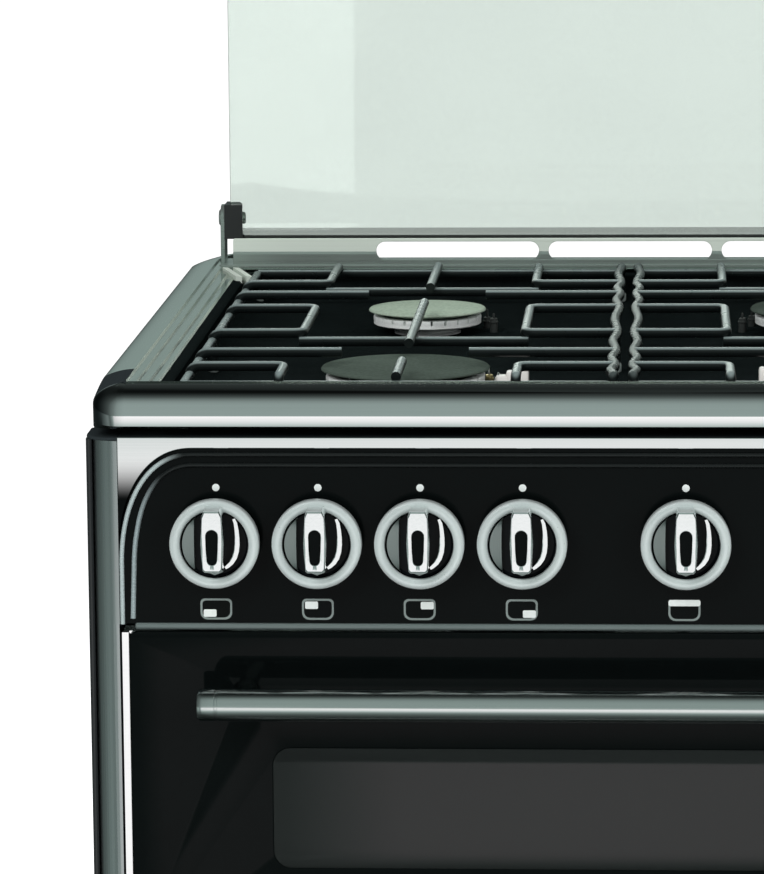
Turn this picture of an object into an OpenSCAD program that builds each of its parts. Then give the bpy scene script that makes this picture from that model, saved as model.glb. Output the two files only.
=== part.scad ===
// Freestanding gas cooker: four-burner hob with a raised glass lid, top oven with grill,
// and a main oven below. Millimetres, +Z up, +X to the right, front towards -Y.
// The origin is on the floor, at the middle of the overall width and depth.

/* [Cabinet] */
// Overall width across the front pillars
body_w = 600; // [570:5:700]
// Depth from the front plane to the rear plane
body_d = 600; // [590:5:680]
// Clear height under the cabinet
foot_gap = 28; // [24:1:60]
// Height of the kick panel under the main door
plinth_h = 101; // [60:1:160]
// Gap above and below each door
door_gap = 4; // [3.5:0.5:8]
// Height of the main oven door
main_door_h = 430; // [380:5:480]
// Height of the top oven door
top_door_h = 190; // [170:5:240]
// Height of the control fascia
panel_h = 106; // [100:1:130]
// Thickness of the sheet metal
sheet = 1.2; // [1:0.1:1.6]
// How far the side sheets stand in from the overall width
side_inset = 1.5; // [1:0.5:4]
// Width of the folded flanges on the side sheets
flange_w = 25; // [24:1:30]
// How far the back sheet stands in from the rear plane
back_inset = 2; // [2:0.5:4]

/* [Front frame] */
// Width of each pillar seen from the front
pillar_w = 18.5; // [16:0.5:26]
// Depth of each pillar
pillar_d = 36; // [36:1:50]
// Rounding of the pillar's outer front edge
pillar_r = 14; // [6:1:15]
// Thickness of the steel of the frame
frame_t = 1.5; // [1:0.1:2]
// Depth of the pillar's inner return beside the doors
return_d = 20; // [16:1:24]
// Height of the steel strip above the control panel
arch_top = 6; // [4:1:12]
// Width of the arch's rounded corner
arch_a = 40; // [20:1:60]
// Height of the arch's rounded corner
arch_b = 62; // [30:1:80]
// Fullness of the arch's corner, where 2 is an ellipse
arch_n = 2.4; // [2:0.1:3]

/* [Control panel] */
// Thickness of the black panel
panel_t = 4; // [3:0.5:6]
// How far the panel reaches behind the frame
panel_lap = 2; // [1:0.5:3]
// Depth of the panel's folded bottom edge
panel_fold = 20; // [10:1:26]
// Width of the raised bead along the top
bead_w = 12; // [6:1:16]
// Height of the raised bead
bead_h = 3; // [1:0.5:5]
// Length of the bead's thin tail below the arch's corner
bead_tail = 14; // [6:1:30]
// Height of the knobs above the panel's bottom edge
knob_up = 48; // [40:1:60]
// Distance from the centreline to the outermost knobs
knob_end = 226.5; // [200:0.1:240]
// Distance between neighbouring burner knobs
knob_pitch = 57; // [54:0.5:62]
// Distance from the centreline to the grill knob
grill_knob_x = 35; // [20:1:60]
// Width of the timer window
clock_w = 68; // [50:1:80]
// Height of the timer window
clock_h = 30; // [20:1:40]
// Depth of the timer
clock_d = 28; // [15:1:30]
// Centre of the timer
clock_x = 122; // [110:1:128]
// Centre of the two push buttons
button_x = 180; // [174:1:186]
// Height of each button above or below the knobs' centres
button_rise = 14; // [12:1:24]
// Radius of a push button
button_r = 7; // [5:0.5:9]
// How far a button stands out of the panel
button_out = 4.5; // [3:0.5:8]

/* [Knobs] */
// Outer radius of a knob
knob_r = 25; // [20:0.5:27]
// Inner radius of the knob's ring
knob_ring_r = 19; // [15:0.5:19.5]
// Gap between the knob and the panel
knob_gap = 7; // [4:0.5:8]
// Height of the knob's ring
knob_ring_h = 9; // [6:0.5:12]
// How far the grip stands out of the ring
grip_out = 13; // [8:1:18]
// Width of the grip at its middle
grip_w = 13; // [11:0.5:15]
// Width of the grip's ends
grip_end_w = 9.5; // [7:0.5:11]
// Reach of the grip below the knob's centre
grip_low = 12.8; // [11:0.1:15]
// Width of the dark inset in the grip
inset_w = 6; // [3:0.5:7]
// Length of the dark inset in the grip
inset_l = 20; // [10:1:22]
// Depth of the dark inset
inset_t = 1; // [0.5:0.1:1.5]
// Travel of a knob when it is pushed in
knob_travel = 3.5; // [2:0.5:3.5]
// Radius of a tap's spindle
spindle_r = 4; // [3:0.25:4.5]
// Depth of the spindle's flat
spindle_flat = 1.4; // [0.8:0.1:1.6]
// Length of the spindle inside the knob
spindle_grip = 10; // [8:0.5:10]

/* [Hob] */
// Gap between the fascia and the hob's rim
rim_gap = 5; // [3:0.5:10]
// Height of the hob's rim
rim_h = 25; // [22:1:35]
// How far the rim stands in front of the frame
rim_out = 5; // [0:1:12]
// How far the rim stands in from the overall width
rim_inset = 4.5; // [2:0.5:10]
// Rounding of the rim's front edge
rim_r = 14; // [8:1:18]
// Rounding of the rim's side edges
rim_side_r = 8; // [4:1:12]
// Rounding of the hob's front corners
corner_r = 19; // [12:1:26]
// Rounding of the hob's rear corners
rear_r = 28; // [12:1:34]
// Width of the flat band on the side rails
rail_band = 18; // [14:1:22]
// Width of each step beside the band
rail_step = 5; // [4:0.5:6]
// Drop of each step beside the band
rail_drop = 1.5; // [1:0.1:1.6]
// Thickness of the hob's top
hob_t = 6; // [6:0.5:8]
// Thickness of the hob's skirt
skirt_t = 2; // [1:0.5:3]
// Distance from the front plane to the well
well_front = 17; // [17:1:26]
// Length of the well
well_l = 518; // [500:1:540]
// Width of the well
well_w = 516; // [500:1:520]
// Depth of the well's floor under the rim
well_depth = 23.8; // [20:0.2:24]
// Width of the well's hidden flange
well_flange = 8; // [4:1:10]
// How far the rear deck lies below the rim
deck_drop = 3; // [2:0.5:4]

/* [Burners] */
// Distance of the burners from the centreline
burner_x = 127; // [115:1:140]
// Distance from the front plane to the front burners
burner_front = 125; // [105:1:140]
// Distance between the front and rear burners
burner_pitch = 253; // [235:1:270]
// Radius of the rapid burner's cap, front left
cap_rapid_r = 49; // [40:1:50]
// Radius of the cap at the rear left
cap_semi_r = 37; // [30:1:45]
// Radius of the cap at the rear right
cap_large_r = 50; // [40:1:50]
// Radius of the cap at the front right
cap_small_r = 27; // [24:1:34]
// Thickness of a burner cap
cap_t = 5; // [4:0.5:5.5]
// Height of a burner's crown
crown_h = 9.8; // [8:0.2:10.4]
// Radius of an injector cup
cup_r = 17; // [14:1:19]
// Depth of an injector cup under the well's floor
cup_depth = 22; // [16:1:24]
// Number of flame ports round a crown
ports = 24; // [12:2:36]
// Radius of a spark electrode's ceramic
spark_r = 2.5; // [2:0.25:3]

/* [Pan supports] */
// Radius of the rods
rod_r = 3; // [2.5:0.25:3.5]
// Height of the supports above the rim
support_rise = 3; // [2:0.5:6]
// Distance from the centreline to the inner rods
rod_centre = 6; // [5:0.5:10]
// Distance from the centreline to the outer rods
rod_outer = 247; // [235:1:249]
// Distance from the centreline to the inner cross rods
rod_in = 60; // [50:1:70]
// Distance from the centreline to the outer cross rods
rod_out = 193; // [185:1:200]
// Clear radius over each burner
finger_gap = 37; // [28:1:40]
// Distance between the well's ends and the supports
rod_end = 12; // [8:1:30]

/* [Rear trim and lid] */
// Half the width of the vent trim
trim_half = 265.5; // [240:0.5:267]
// Height of the vent trim above the rear deck
trim_h = 18; // [15:1:20]
// Thickness of the vent trim
trim_t = 2; // [1.5:0.1:3]
// Height of the slots in the trim
slot_h = 12; // [8:1:13]
// Length of each slot
slot_l = 108.5; // [80:0.5:110]
// Width of the posts between the slots
slot_post = 6.5; // [5:0.5:14]
// Steel left above the slots
slot_edge = 3; // [1:0.5:3]
// Number of slots
slots = 3; // [1:1:4]
// Depth of the trim's foot
trim_foot = 38; // [34:1:44]
// Width of the lid
lid_w = 535; // [480:1:536]
// Length of the lid
lid_l = 530; // [480:5:540]
// Thickness of the lid's glass
lid_t = 5; // [4:0.5:6]
// Height of the lid's lower edge over the trim
lid_over = 2; // [1.5:0.5:6]
// Radius of the lid's pivot pins
lid_pin_r = 4; // [3:0.5:4.5]
// Width of each lid hinge block
lid_arm_w = 12; // [8:1:16]

/* [Doors] */
// Gap between a door and a pillar
door_side_gap = 1.5; // [1:0.25:3]
// How far the doors stand in front of the frame
door_out = 3; // [1:0.5:8]
// Thickness of the outer door glass
glass_t = 5; // [4:0.5:6]
// Width of the steel edge beside the outer glass
door_edge = 4; // [3:0.5:8]
// Depth of the door's inner shell
liner_d = 32; // [30:1:32]
// Thickness of the inner shell
liner_t = 1.5; // [1:0.1:2]
// Thickness of the inner door glass
inner_glass_t = 4; // [3:0.5:5]
// Width of the window in the inner shell
window_w = 380; // [250:10:420]
// Margin above and below the window
window_margin = 45; // [40:1:60]
// Radius of the hinge pins
pin_r = 3; // [2.5:0.25:3.5]
// Height of the hinge axis above a door's lower edge
hinge_up = 12; // [11:1:14]
// Distance of the hinge axis behind the front plane
hinge_in = 6; // [6:0.5:8]
// Length of each hinge knuckle
knuckle_l = 18; // [10:1:24]
// Gap between the door seal and the door
seal_gap = 0.3; // [0.2:0.1:0.6]
// Width of the door seal
seal_w = 7; // [5:1:9]

/* [Handles] */
// Length of the door handles
handle_l = 470; // [300:10:500]
// Radius of the handle bar
handle_r = 9; // [7:0.5:11]
// Distance from the front plane to the bar's centre
handle_stand = 36; // [32:1:45]
// Distance between the handle's posts
post_span = 420; // [250:10:440]
// Radius of the handle's posts
post_r = 7; // [6:0.5:8]
// Radius of the handle's studs
stud_r = 3.2; // [2.5:0.1:3.5]
// Distance from a door's upper edge to its handle
handle_down = 34; // [28:1:38]

/* [Ovens] */
// Inner width of both ovens
oven_w = 430; // [380:5:440]
// Inner height of the top oven
top_oven_h = 150; // [130:5:160]
// Inner depth of the top oven
top_oven_d = 400; // [360:5:410]
// Inner height of the main oven
main_oven_h = 380; // [340:5:390]
// Inner depth of the main oven
main_oven_d = 420; // [380:5:425]
// Radius of the oven shelf wires
wire_r = 2.5; // [2:0.25:3]
// Number of cross wires in a shelf
shelf_wires = 15; // [5:1:21]
// Distance from the oven's side to the runner wires' centre
runner_out = 8; // [7:0.5:10]
// Depth of the shelves
shelf_d = 340; // [300:5:350]
// Width of the grill pan
pan_w = 350; // [300:5:370]
// Depth of the grill pan, front to back
pan_d = 290; // [240:5:300]
// Height of the grill pan
pan_h = 32; // [20:1:40]
// Width of the grill burner
grill_w = 300; // [240:5:340]
// Depth of the grill burner
grill_d = 240; // [200:5:260]
// Thickness of the grill burner
grill_t = 12; // [8:1:16]
// Length of the oven burner
oven_burner_l = 320; // [260:5:360]
// Radius of the oven burner's tube
oven_burner_r = 11; // [8:0.5:14]

/* [Gas supply] */
// Width of the square gas rail
gas_rail_w = 18; // [14:1:22]
// Distance from the front plane to the gas taps
tap_in = 30; // [30:1:34]
// Length of each tap's body
tap_l = 32; // [26:1:36]
// Width of each tap's body
tap_w = 22; // [18:1:26]
// Height of each tap's body
tap_h = 34; // [28:1:36]
// Radius of the feed pipes
pipe_r = 4; // [3:0.25:4]
// Distance from the centreline to the supply pipe
inlet_x = 242; // [241:0.5:246]
// Radius of the supply pipe
supply_r = 8; // [6:0.5:8]
// Radius of the inlet's internal thread
inlet_r = 9.3; // [8:0.1:9.5]
// Outer radius of the inlet socket
inlet_outer_r = 14; // [12:0.5:14.5]
// Length of the inlet socket's thread
inlet_l = 18; // [12:1:20]

/* [Feet and fasteners] */
// Radius of a foot's pad
foot_r = 20; // [14:1:25]
// Thickness of a foot's pad
foot_t = 8; // [5:1:9]
// Radius of a foot's threaded stem
stem_r = 5; // [4:0.5:6]
// Distance of the feet from the cabinet's edges
foot_inset = 55; // [45:1:90]
// Radius of a screw's head
screw_head_r = 4; // [3:0.25:5]
// Radius of a screw's shank
screw_r = 2; // [1.5:0.25:2.25]
// Radius of the wall bracket holes
bracket_hole_r = 3; // [2:0.25:4]
// Distance between the wall bracket holes
bracket_span = 400; // [200:10:440]
// Radius of the cable gland's body
gland_r = 11; // [9:0.5:14]
// Radius of the cable gland's bore
gland_bore_r = 4.5; // [3:0.5:6]

/* [Hidden] */

$fn = 48;
eps = 0.01;
run_fit = 0.05; // radial clearance of a shaft in its bore
gap_fit = 0.3; // clearance between neighbouring rigid pieces
hole_fit = 0.5; // radial clearance of a pin that only passes through

// Planes, front to back
half = body_w / 2;
reach = handle_stand + handle_r;
front_y = reach - (body_d + reach) / 2;
rear_y = front_y + body_d;
panel_y = front_y + frame_t; // face of the control panel
bulk_y = front_y + pillar_d; // front of the ovens' flanges
back_y = rear_y - back_inset - sheet; // inner face of the back sheet
side_x = half - side_inset - sheet; // inner face of the side sheets
pillar_x = half - pillar_w; // inner face of the pillars

// Levels, from the floor up
main_z0 = foot_gap + plinth_h + door_gap;
main_z1 = main_z0 + main_door_h;
top_z0 = main_z1 + door_gap;
top_z1 = top_z0 + top_door_h;
panel_z0 = top_z1 + door_gap;
fascia_top = panel_z0 + panel_h;
knob_z = panel_z0 + knob_up;
rim_z0 = fascia_top + rim_gap;
rim_top = rim_z0 + rim_h;
hob_under = rim_top - hob_t;
floor_z = rim_top - well_depth; // upper face of the well's floor
support_top = rim_top + support_rise;
deck_z = rim_top - deck_drop;
trim_top = deck_z + trim_h;
lid_z0 = trim_top + lid_over;

// Knobs: four burners, grill, main oven
knob_x = [-knob_end, -knob_end + knob_pitch, -knob_end + 2 * knob_pitch,
    -knob_end + 3 * knob_pitch, grill_knob_x, knob_end];
bore_depth = spindle_grip + knob_travel + 0.5;
knob_h = knob_ring_h + grip_out;

// Burners: front left, rear left, rear right, front right, in the order of their knobs
burner_y0 = front_y + burner_front;
burner_y1 = burner_y0 + burner_pitch;
burner_at = [[-burner_x, burner_y0], [-burner_x, burner_y1], [burner_x, burner_y1], [burner_x, burner_y0]];
cap_rs = [cap_rapid_r, cap_semi_r, cap_large_r, cap_small_r];
cup_lip = 4; // width of an injector cup's lip
cup_lip_t = 1.5; // thickness of that lip
probe_gap = 5; // distance from a crown to its spark electrode and probe
probe_turn = 28; // angle between a burner's spark electrode and its flame probe
probe_down = 14; // reach of both under the well's floor
probe_collar = 3; // height of the collar that holds each under the floor
spark_up = 9; // height of a spark electrode's ceramic over the floor
spark_tip = 3; // length of its bare tip
sensor_up = 7; // height of a flame probe's ceramic over the floor
sensor_tip = 5; // length of its bare tip
head_z0 = floor_z + cup_lip_t;
cap_z0 = head_z0 + crown_h;

// Hob plan
hob_half = half - rim_inset;
hob_y0 = front_y - rim_out;
hob_y1 = rear_y - rim_inset;
well_y0 = front_y + well_front;
well_y1 = well_y0 + well_l;
crest_y = hob_y0 + rim_r;
rail_leg = 3; // thickness of the legs that stand on the side sheets

// Lid
lid_pin_x = trim_half + 6; // inner face of the lid's ears
ear_t = 3;
ear_gap = 3; // room for the ears beside the deck's edges
lid_axis_y = well_y1 + 24;
lid_front = lid_t + lid_pin_r + 3; // distance from the pivot to the lid's front face
lid_axis_z = lid_z0 + lid_front - gap_fit;
lid_y0 = lid_axis_y - lid_front;

// Doors
door_half = pillar_x - door_side_gap;
glass_half = door_half - door_edge;
door_y0 = front_y - door_out;
liner_y0 = door_y0 + glass_t;
liner_y1 = liner_y0 + liner_d;
hinge_y = front_y + hinge_in;
seal_t = bulk_y - liner_y1 - seal_gap;

// Ovens
top_oven_z0 = (top_z0 + top_z1 - top_oven_h) / 2;
main_oven_z0 = (main_z0 + main_z1 - main_oven_h) / 2;
half_gap = door_gap / 2;
top_back_y = bulk_y + top_oven_d + sheet;
main_back_y = bulk_y + main_oven_d + sheet;
runner_x = oven_w / 2 - runner_out;
shelf_half = runner_x - wire_r - gap_fit;
top_runner_z = top_oven_z0 + 22;
main_runners = [for (i = [1:5]) main_oven_z0 + i * main_oven_h / 6];
shelf_y0 = bulk_y + 25;

// Gas supply
tap_y0 = front_y + tap_in;
tap_y1 = tap_y0 + tap_l;
pipe_y = tap_y0 + tap_l / 2;
low_z = knob_z + tap_h / 2 + 2 * pipe_r;
high_z = low_z + 2 * pipe_r + 1;
cup_z0 = floor_z - cup_depth;

steel = [0.66, 0.68, 0.67];
dark = [0.08, 0.09, 0.09];
chrome = [0.85, 0.87, 0.87];
zinc = [0.6, 0.62, 0.62];
enamel = [0.12, 0.12, 0.13];
glass = [0.3, 0.36, 0.34, 0.6];
brass = [0.78, 0.62, 0.3];

// Points of a quarter arc about a centre, from one angle to another
function arc(c, r, a0, a1, n = 8) = [for (i = [0:n]) let (a = a0 + (a1 - a0) * i / n)
    [c[0] + r * cos(a), c[1] + r * sin(a)]];
// Powers that keep the rounded corner full
function lame(v) = pow(v, 2 / arch_n);
// A point on the arch's left corner, where t runs from the side at 0 to the top at 90
function corner(h, top, t, w = 0) = [-h + arch_a * (1 - lame(cos(t))) + w * cos(t),
    top - arch_b * (1 - lame(sin(t))) - w * sin(t)];
function flip(pts) = [for (i = [len(pts) - 1:-1:0]) [-pts[i][0], pts[i][1]]];
function arch(h, top, z0) = let (left = [for (t = [0:7.5:90]) corner(h, top, t)])
    concat([[-h, z0]], left, flip(left), [[h, z0]]);

// Stands a flat shape up in the XZ plane, from y to y + t
module upright(y, t) {
    translate([0, y + t, 0]) rotate([90, 0, 0]) linear_extrude(t) children();
}
// Moves to the panel's face: x right, y up, z out of the panel
module on_panel(x, z = knob_z) {
    translate([x, panel_y, z]) rotate([90, 0, 0]) children();
}
module both_sides() {
    for (m = [0, 1]) mirror([m, 0, 0]) children();
}
module block(a, b) {
    translate(a) cube(b - a);
}
// A straight rod between two points, which may run on past both ends
module rod(a, b, r, over = 0, sides = 12) {
    d = b - a;
    l = norm(d);
    translate(a) rotate([0, acos(d[2] / l), atan2(d[1], d[0])])
        translate([0, 0, -over]) rotate([0, 0, 180 / sides])
            cylinder(r = r, h = l + 2 * over, $fn = sides);
}
module path(pts, r, sides = 8) {
    for (i = [0:len(pts) - 2]) rod(pts[i], pts[i + 1], r, 0, sides);
    for (i = [1:len(pts) - 2]) translate(pts[i]) cube(2 * r * cos(180 / sides), center = true);
}
// A rectangle in plan with its outer front corner rounded
module rounded_plan(x0, x1, y0, y1, r) {
    translate([x0, y0]) square([x1 - r - x0, y1 - y0]);
    translate([x0, y0 + r]) square([x1 - x0, y1 - y0 - r]);
    intersection() {
        translate([x1 - r, y0 + r]) circle(r);
        translate([x1 - r, y0]) square(r);
    }
}

// Cabinet
module side_sheet() {
    z1 = fascia_top;
    x1 = side_x + sheet;
    difference() {
        union() {
            block([side_x, bulk_y, foot_gap], [x1, back_y, z1]);
            block([x1 - flange_w, bulk_y, z1 - sheet], [x1, back_y, z1]);
            block([x1 - flange_w, bulk_y, foot_gap], [x1, back_y, foot_gap + sheet]);
            block([x1 - flange_w, back_y - sheet, foot_gap], [x1, back_y, z1]);
        }
        screw_holes();
    }
}
module side_panel_left() {
    color(dark) mirror([1, 0, 0]) side_sheet();
}
module side_panel_right() {
    color(dark) side_sheet();
}
screw_x = side_x - flange_w / 2;
screw_zs = [for (i = [0:3]) foot_gap + 40 + i * (fascia_top - foot_gap - 80) / 3];
module screw_holes() {
    for (z = screw_zs) translate([screw_x, back_y - 3 * sheet, z]) rotate([-90, 0, 0])
        cylinder(r = screw_r + 0.1, h = 6 * sheet);
}
gland_x = -side_x + 70;
gland_z = foot_gap + 90;
bracket_z = fascia_top - 40;
module back_panel() {
    vent_l = 90;
    vent_h = 6;
    color(zinc) difference() {
        block([-side_x - sheet, back_y, foot_gap], [side_x + sheet, back_y + sheet, fascia_top]);
        both_sides() screw_holes();
        for (i = [-1, 1], z = [0:3]) translate([i * 110, back_y - 1, bracket_z - 40 - z * 18])
            translate([-vent_l / 2, 0, -vent_h / 2]) cube([vent_l, 4, vent_h]);
        for (i = [-1, 1]) translate([i * bracket_span / 2, back_y - 1, bracket_z]) rotate([-90, 0, 0])
            cylinder(r = bracket_hole_r, h = 4);
        translate([inlet_x, back_y - 1, knob_z]) rotate([-90, 0, 0])
            cylinder(r = inlet_outer_r + hole_fit, h = 4);
        translate([gland_x, back_y - 1, gland_z]) rotate([-90, 0, 0])
            cylinder(r = gland_r - 3 + 0.1, h = 4);
    }
}
module screws() {
    color(chrome) both_sides() for (z = screw_zs) translate([screw_x, back_y + sheet, z])
        rotate([-90, 0, 0]) difference() {
            union() {
                cylinder(r = screw_head_r, h = back_inset - 0.2);
                translate([0, 0, -6]) cylinder(r = screw_r, h = 7);
            }
            for (a = [0, 90]) rotate([0, 0, a]) translate([-screw_head_r / 2, -0.5, back_inset - 1])
                cube([screw_head_r, 1, 2]);
        }
}
module cable_gland() {
    color(dark) translate([gland_x, back_y, gland_z]) rotate([-90, 0, 0]) difference() {
        union() {
            translate([0, 0, -12]) cylinder(r = gland_r, h = 12);
            cylinder(r = gland_r - 3, h = sheet + back_inset - 0.2);
        }
        translate([0, 0, -13]) cylinder(r = gland_bore_r, h = 20);
    }
}
feet_x = half - foot_inset;
feet_y = [front_y + foot_inset, rear_y - foot_inset];
tray_z = foot_gap + sheet;
boss_h = 12;
module base_tray() {
    lip = 20;
    color(zinc) difference() {
        union() {
            block([-side_x, bulk_y, tray_z], [side_x, back_y - sheet, tray_z + sheet]);
            block([-side_x, bulk_y, tray_z], [side_x, bulk_y + sheet, tray_z + lip]);
            for (x = [-feet_x, feet_x], y = feet_y) translate([x, y, tray_z])
                cylinder(r = stem_r + 5, h = boss_h);
        }
        for (x = [-feet_x, feet_x], y = feet_y) translate([x, y, tray_z - 1])
            cylinder(r = stem_r + run_fit, h = boss_h + 2);
    }
}
module foot(x, y) {
    color(dark) translate([x, y, 0]) {
        cylinder(r1 = foot_r - 2, r2 = foot_r, h = 2);
        translate([0, 0, 2]) cylinder(r = foot_r, h = foot_t - 4);
        translate([0, 0, foot_t - 2]) cylinder(r1 = foot_r, r2 = foot_r - 2, h = 2);
        cylinder(r = stem_r, h = tray_z + boss_h + 3);
    }
}
module foot_front_left() {
    foot(-feet_x, feet_y[0]);
}
module foot_front_right() {
    foot(feet_x, feet_y[0]);
}
module foot_rear_left() {
    foot(-feet_x, feet_y[1]);
}
module foot_rear_right() {
    foot(feet_x, feet_y[1]);
}
module plinth() {
    y0 = front_y + 6;
    z1 = foot_gap + plinth_h;
    color(dark) {
        block([-pillar_x, y0, foot_gap], [pillar_x, y0 + frame_t, z1]);
        block([-pillar_x, y0, z1 - frame_t], [pillar_x, bulk_y, z1]);
        block([-pillar_x, y0, foot_gap], [pillar_x, y0 + 20, foot_gap + frame_t]);
    }
}

// Steel frame round the fascia and doors
module pillar_shell(z0, z1, x_in) {
    translate([0, 0, z0]) linear_extrude(z1 - z0) difference() {
        rounded_plan(pillar_x, half, front_y, bulk_y, pillar_r);
        rounded_plan(x_in, half - frame_t, front_y + frame_t, bulk_y + 1, pillar_r - frame_t);
    }
}
module pillar() {
    difference() {
        union() {
            pillar_shell(foot_gap, panel_z0, pillar_x + frame_t);
            pillar_shell(panel_z0 - eps, fascia_top, pillar_x - 1);
            translate([0, 0, fascia_top - frame_t]) linear_extrude(frame_t)
                rounded_plan(pillar_x, half, front_y, bulk_y, pillar_r);
        }
        block([pillar_x - 1, front_y + return_d, foot_gap - 1],
            [pillar_x + frame_t + eps, bulk_y + 1, panel_z0]);
        for (z = [main_z0, top_z0]) translate([pillar_x - 1, hinge_y, z + hinge_up])
            rotate([0, 90, 0]) cylinder(r = pin_r + hole_fit, h = frame_t + 2);
    }
}
module front_frame() {
    flat = half - pillar_r;
    color(steel) {
        both_sides() pillar();
        upright(front_y, frame_t) difference() {
            polygon([[-flat, panel_z0], [flat, panel_z0], [flat, fascia_top], [-flat, fascia_top]]);
            polygon(arch(pillar_x, fascia_top - arch_top, panel_z0 - 1));
        }
        block([-flat, front_y, fascia_top - frame_t], [flat, bulk_y, fascia_top]);
    }
}
module bead_shape() {
    h = pillar_x - gap_fit;
    top = fascia_top - arch_top - gap_fit;
    outer = [for (t = [0:7.5:90]) corner(h, top, t)];
    inner = [for (t = [90:-7.5:0]) corner(h, top, t, bead_w / 3 + bead_w * 2 / 3 * sin(t))];
    tail = [-h, top - arch_b - bead_tail];
    polygon(concat([tail], outer, flip(outer), flip([tail]), flip(inner), inner));
}
button_zs = [knob_z + button_rise, knob_z - button_rise];
bush_l = 12;
module control_panel() {
    top = fascia_top - arch_top;
    color(dark) {
        difference() {
            union() {
                upright(panel_y, panel_t) polygon(arch(pillar_x + panel_lap, top + panel_lap, panel_z0));
                for (z = button_zs) on_panel(button_x, z) translate([0, 0, -panel_t - bush_l])
                    cylinder(r = button_r + 3, h = bush_l + eps);
            }
            for (x = knob_x) on_panel(x) translate([0, 0, -panel_t - 1])
                cylinder(r = spindle_r + 2, h = panel_t + 2);
            on_panel(clock_x) translate([0, 0, -panel_t / 2])
                cube([clock_w, clock_h, panel_t + 2], center = true);
            for (z = button_zs) on_panel(button_x, z) translate([0, 0, -panel_t - bush_l - 1])
                cylinder(r = button_r + run_fit, h = bush_l + panel_t + 2);
        }
        upright(panel_y - bead_h, bead_h + eps) bead_shape();
        block([-pillar_x + gap_fit, panel_y + panel_t - eps, panel_z0],
            [pillar_x - gap_fit, panel_y + panel_fold, panel_z0 + 2]);
    }
}
module clock_module() {
    color(dark) on_panel(clock_x) {
        translate([-clock_w / 2 + gap_fit, -clock_h / 2 + gap_fit, -panel_t - eps])
            cube([clock_w - 2 * gap_fit, clock_h - 2 * gap_fit, panel_t + eps]);
        translate([-clock_w / 2 - 3, -clock_h / 2 - 3, -panel_t - clock_d + 4])
            cube([clock_w + 6, clock_h + 6, clock_d - 4]);
    }
}
module push_button(z) {
    color(chrome) on_panel(button_x, z) {
        translate([0, 0, -panel_t - bush_l]) cylinder(r = button_r, h = panel_t + bush_l + button_out - 1);
        translate([0, 0, button_out - 1]) cylinder(r1 = button_r, r2 = button_r - 1, h = 1);
        translate([0, 0, -panel_t - bush_l - 3]) cylinder(r = button_r + 2, h = 3 - gap_fit);
        translate([0, 0, -panel_t - bush_l - 1]) cylinder(r = button_r - 1, h = 2);
    }
}
module ignition_button() {
    push_button(button_zs[0]);
}
module light_button() {
    push_button(button_zs[1]);
}

// Knobs and spindles
module d_shape(r, flat) {
    difference() {
        circle(r);
        translate([r - flat, -r]) square([r, 2 * r]);
    }
}
module spindle(i) {
    z0 = -(tap_y0 - panel_y) - tap_l * 2 / 3;
    z1 = -panel_t;
    color(zinc) on_panel(knob_x[i]) {
        translate([0, 0, z0]) cylinder(r = spindle_r, h = z1 - z0);
        translate([0, 0, z1 - eps]) linear_extrude(knob_gap + spindle_grip - z1 + eps)
            d_shape(spindle_r, spindle_flat);
    }
}
module knob_body() {
    z0 = knob_gap;
    z1 = z0 + knob_ring_h;
    r = knob_r;
    q = knob_ring_r;
    dish = z0 + knob_ring_h * 0.4;
    rotate_extrude() polygon([[0, z0], [r - 1, z0], [r, z0 + 1], [r, z1 - 2], [r - 1.5, z1],
        [q + 1.5, z1], [q, z1 - 1.5], [q - 1, dish + 1.2], [q * 0.6, dish], [0, dish]]);
}
module grip_shape() {
    w = grip_w / 2;
    e = grip_end_w / 2;
    top = knob_ring_r + 2;
    polygon([[-e, top], [-w, 4], [-w, -4], [-e, -grip_low], [e, -grip_low], [w, -4], [w, 4], [e, top]]);
}
module inset_shape() {
    r = inset_w / 2;
    for (y = [-1, 1]) translate([0, y * (inset_l / 2 - r) + 0.5]) circle(r);
    translate([-r, -inset_l / 2 + r + 0.5]) square([inset_w, inset_l - inset_w]);
}
module knob(i) {
    top = knob_gap + knob_h;
    color(chrome) on_panel(knob_x[i]) difference() {
        union() {
            knob_body();
            translate([0, 0, knob_gap + 1]) linear_extrude(knob_h - 1) grip_shape();
        }
        translate([0, 0, top - inset_t]) linear_extrude(inset_t + 1) inset_shape();
        translate([0, 0, knob_gap - 1]) linear_extrude(bore_depth + 1)
            d_shape(spindle_r + run_fit, spindle_flat);
    }
}

// Hob
module hob_plan() {
    for (m = [0, 1]) mirror([m, 0]) {
        translate([0, hob_y0]) square([hob_half - corner_r, corner_r + 1]);
        translate([hob_half - corner_r, hob_y0 + corner_r]) circle(corner_r);
        translate([0, hob_y0 + corner_r]) square([hob_half, hob_y1 - rear_r - hob_y0 - corner_r]);
        translate([0, hob_y1 - rear_r - 1]) square([hob_half - rear_r, rear_r + 1]);
        translate([hob_half - rear_r, hob_y1 - rear_r]) circle(rear_r);
    }
}
// Cross-section of the hob from side to side, with the stepped rails
module rail_section() {
    b = hob_half - rail_band;
    s = rail_step;
    d = rail_drop;
    right = concat([[hob_half, rim_z0]],
        arc([hob_half - rim_side_r, rim_top - rim_side_r], rim_side_r, 0, 90),
        [[b, rim_top], [b - 1, rim_top - d], [b - s, rim_top - d], [b - s - 1, rim_top - 2 * d],
        [b - 2 * s, rim_top - 2 * d], [b - 2 * s - 1, rim_top - 3 * d]]);
    polygon(concat(right, flip(right)));
}
module side_rounding() {
    right = concat([[hob_half, rim_z0 - 1]],
        arc([hob_half - rim_side_r, rim_top - rim_side_r], rim_side_r, 0, 90));
    polygon(concat(right, flip(right)));
}
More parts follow.
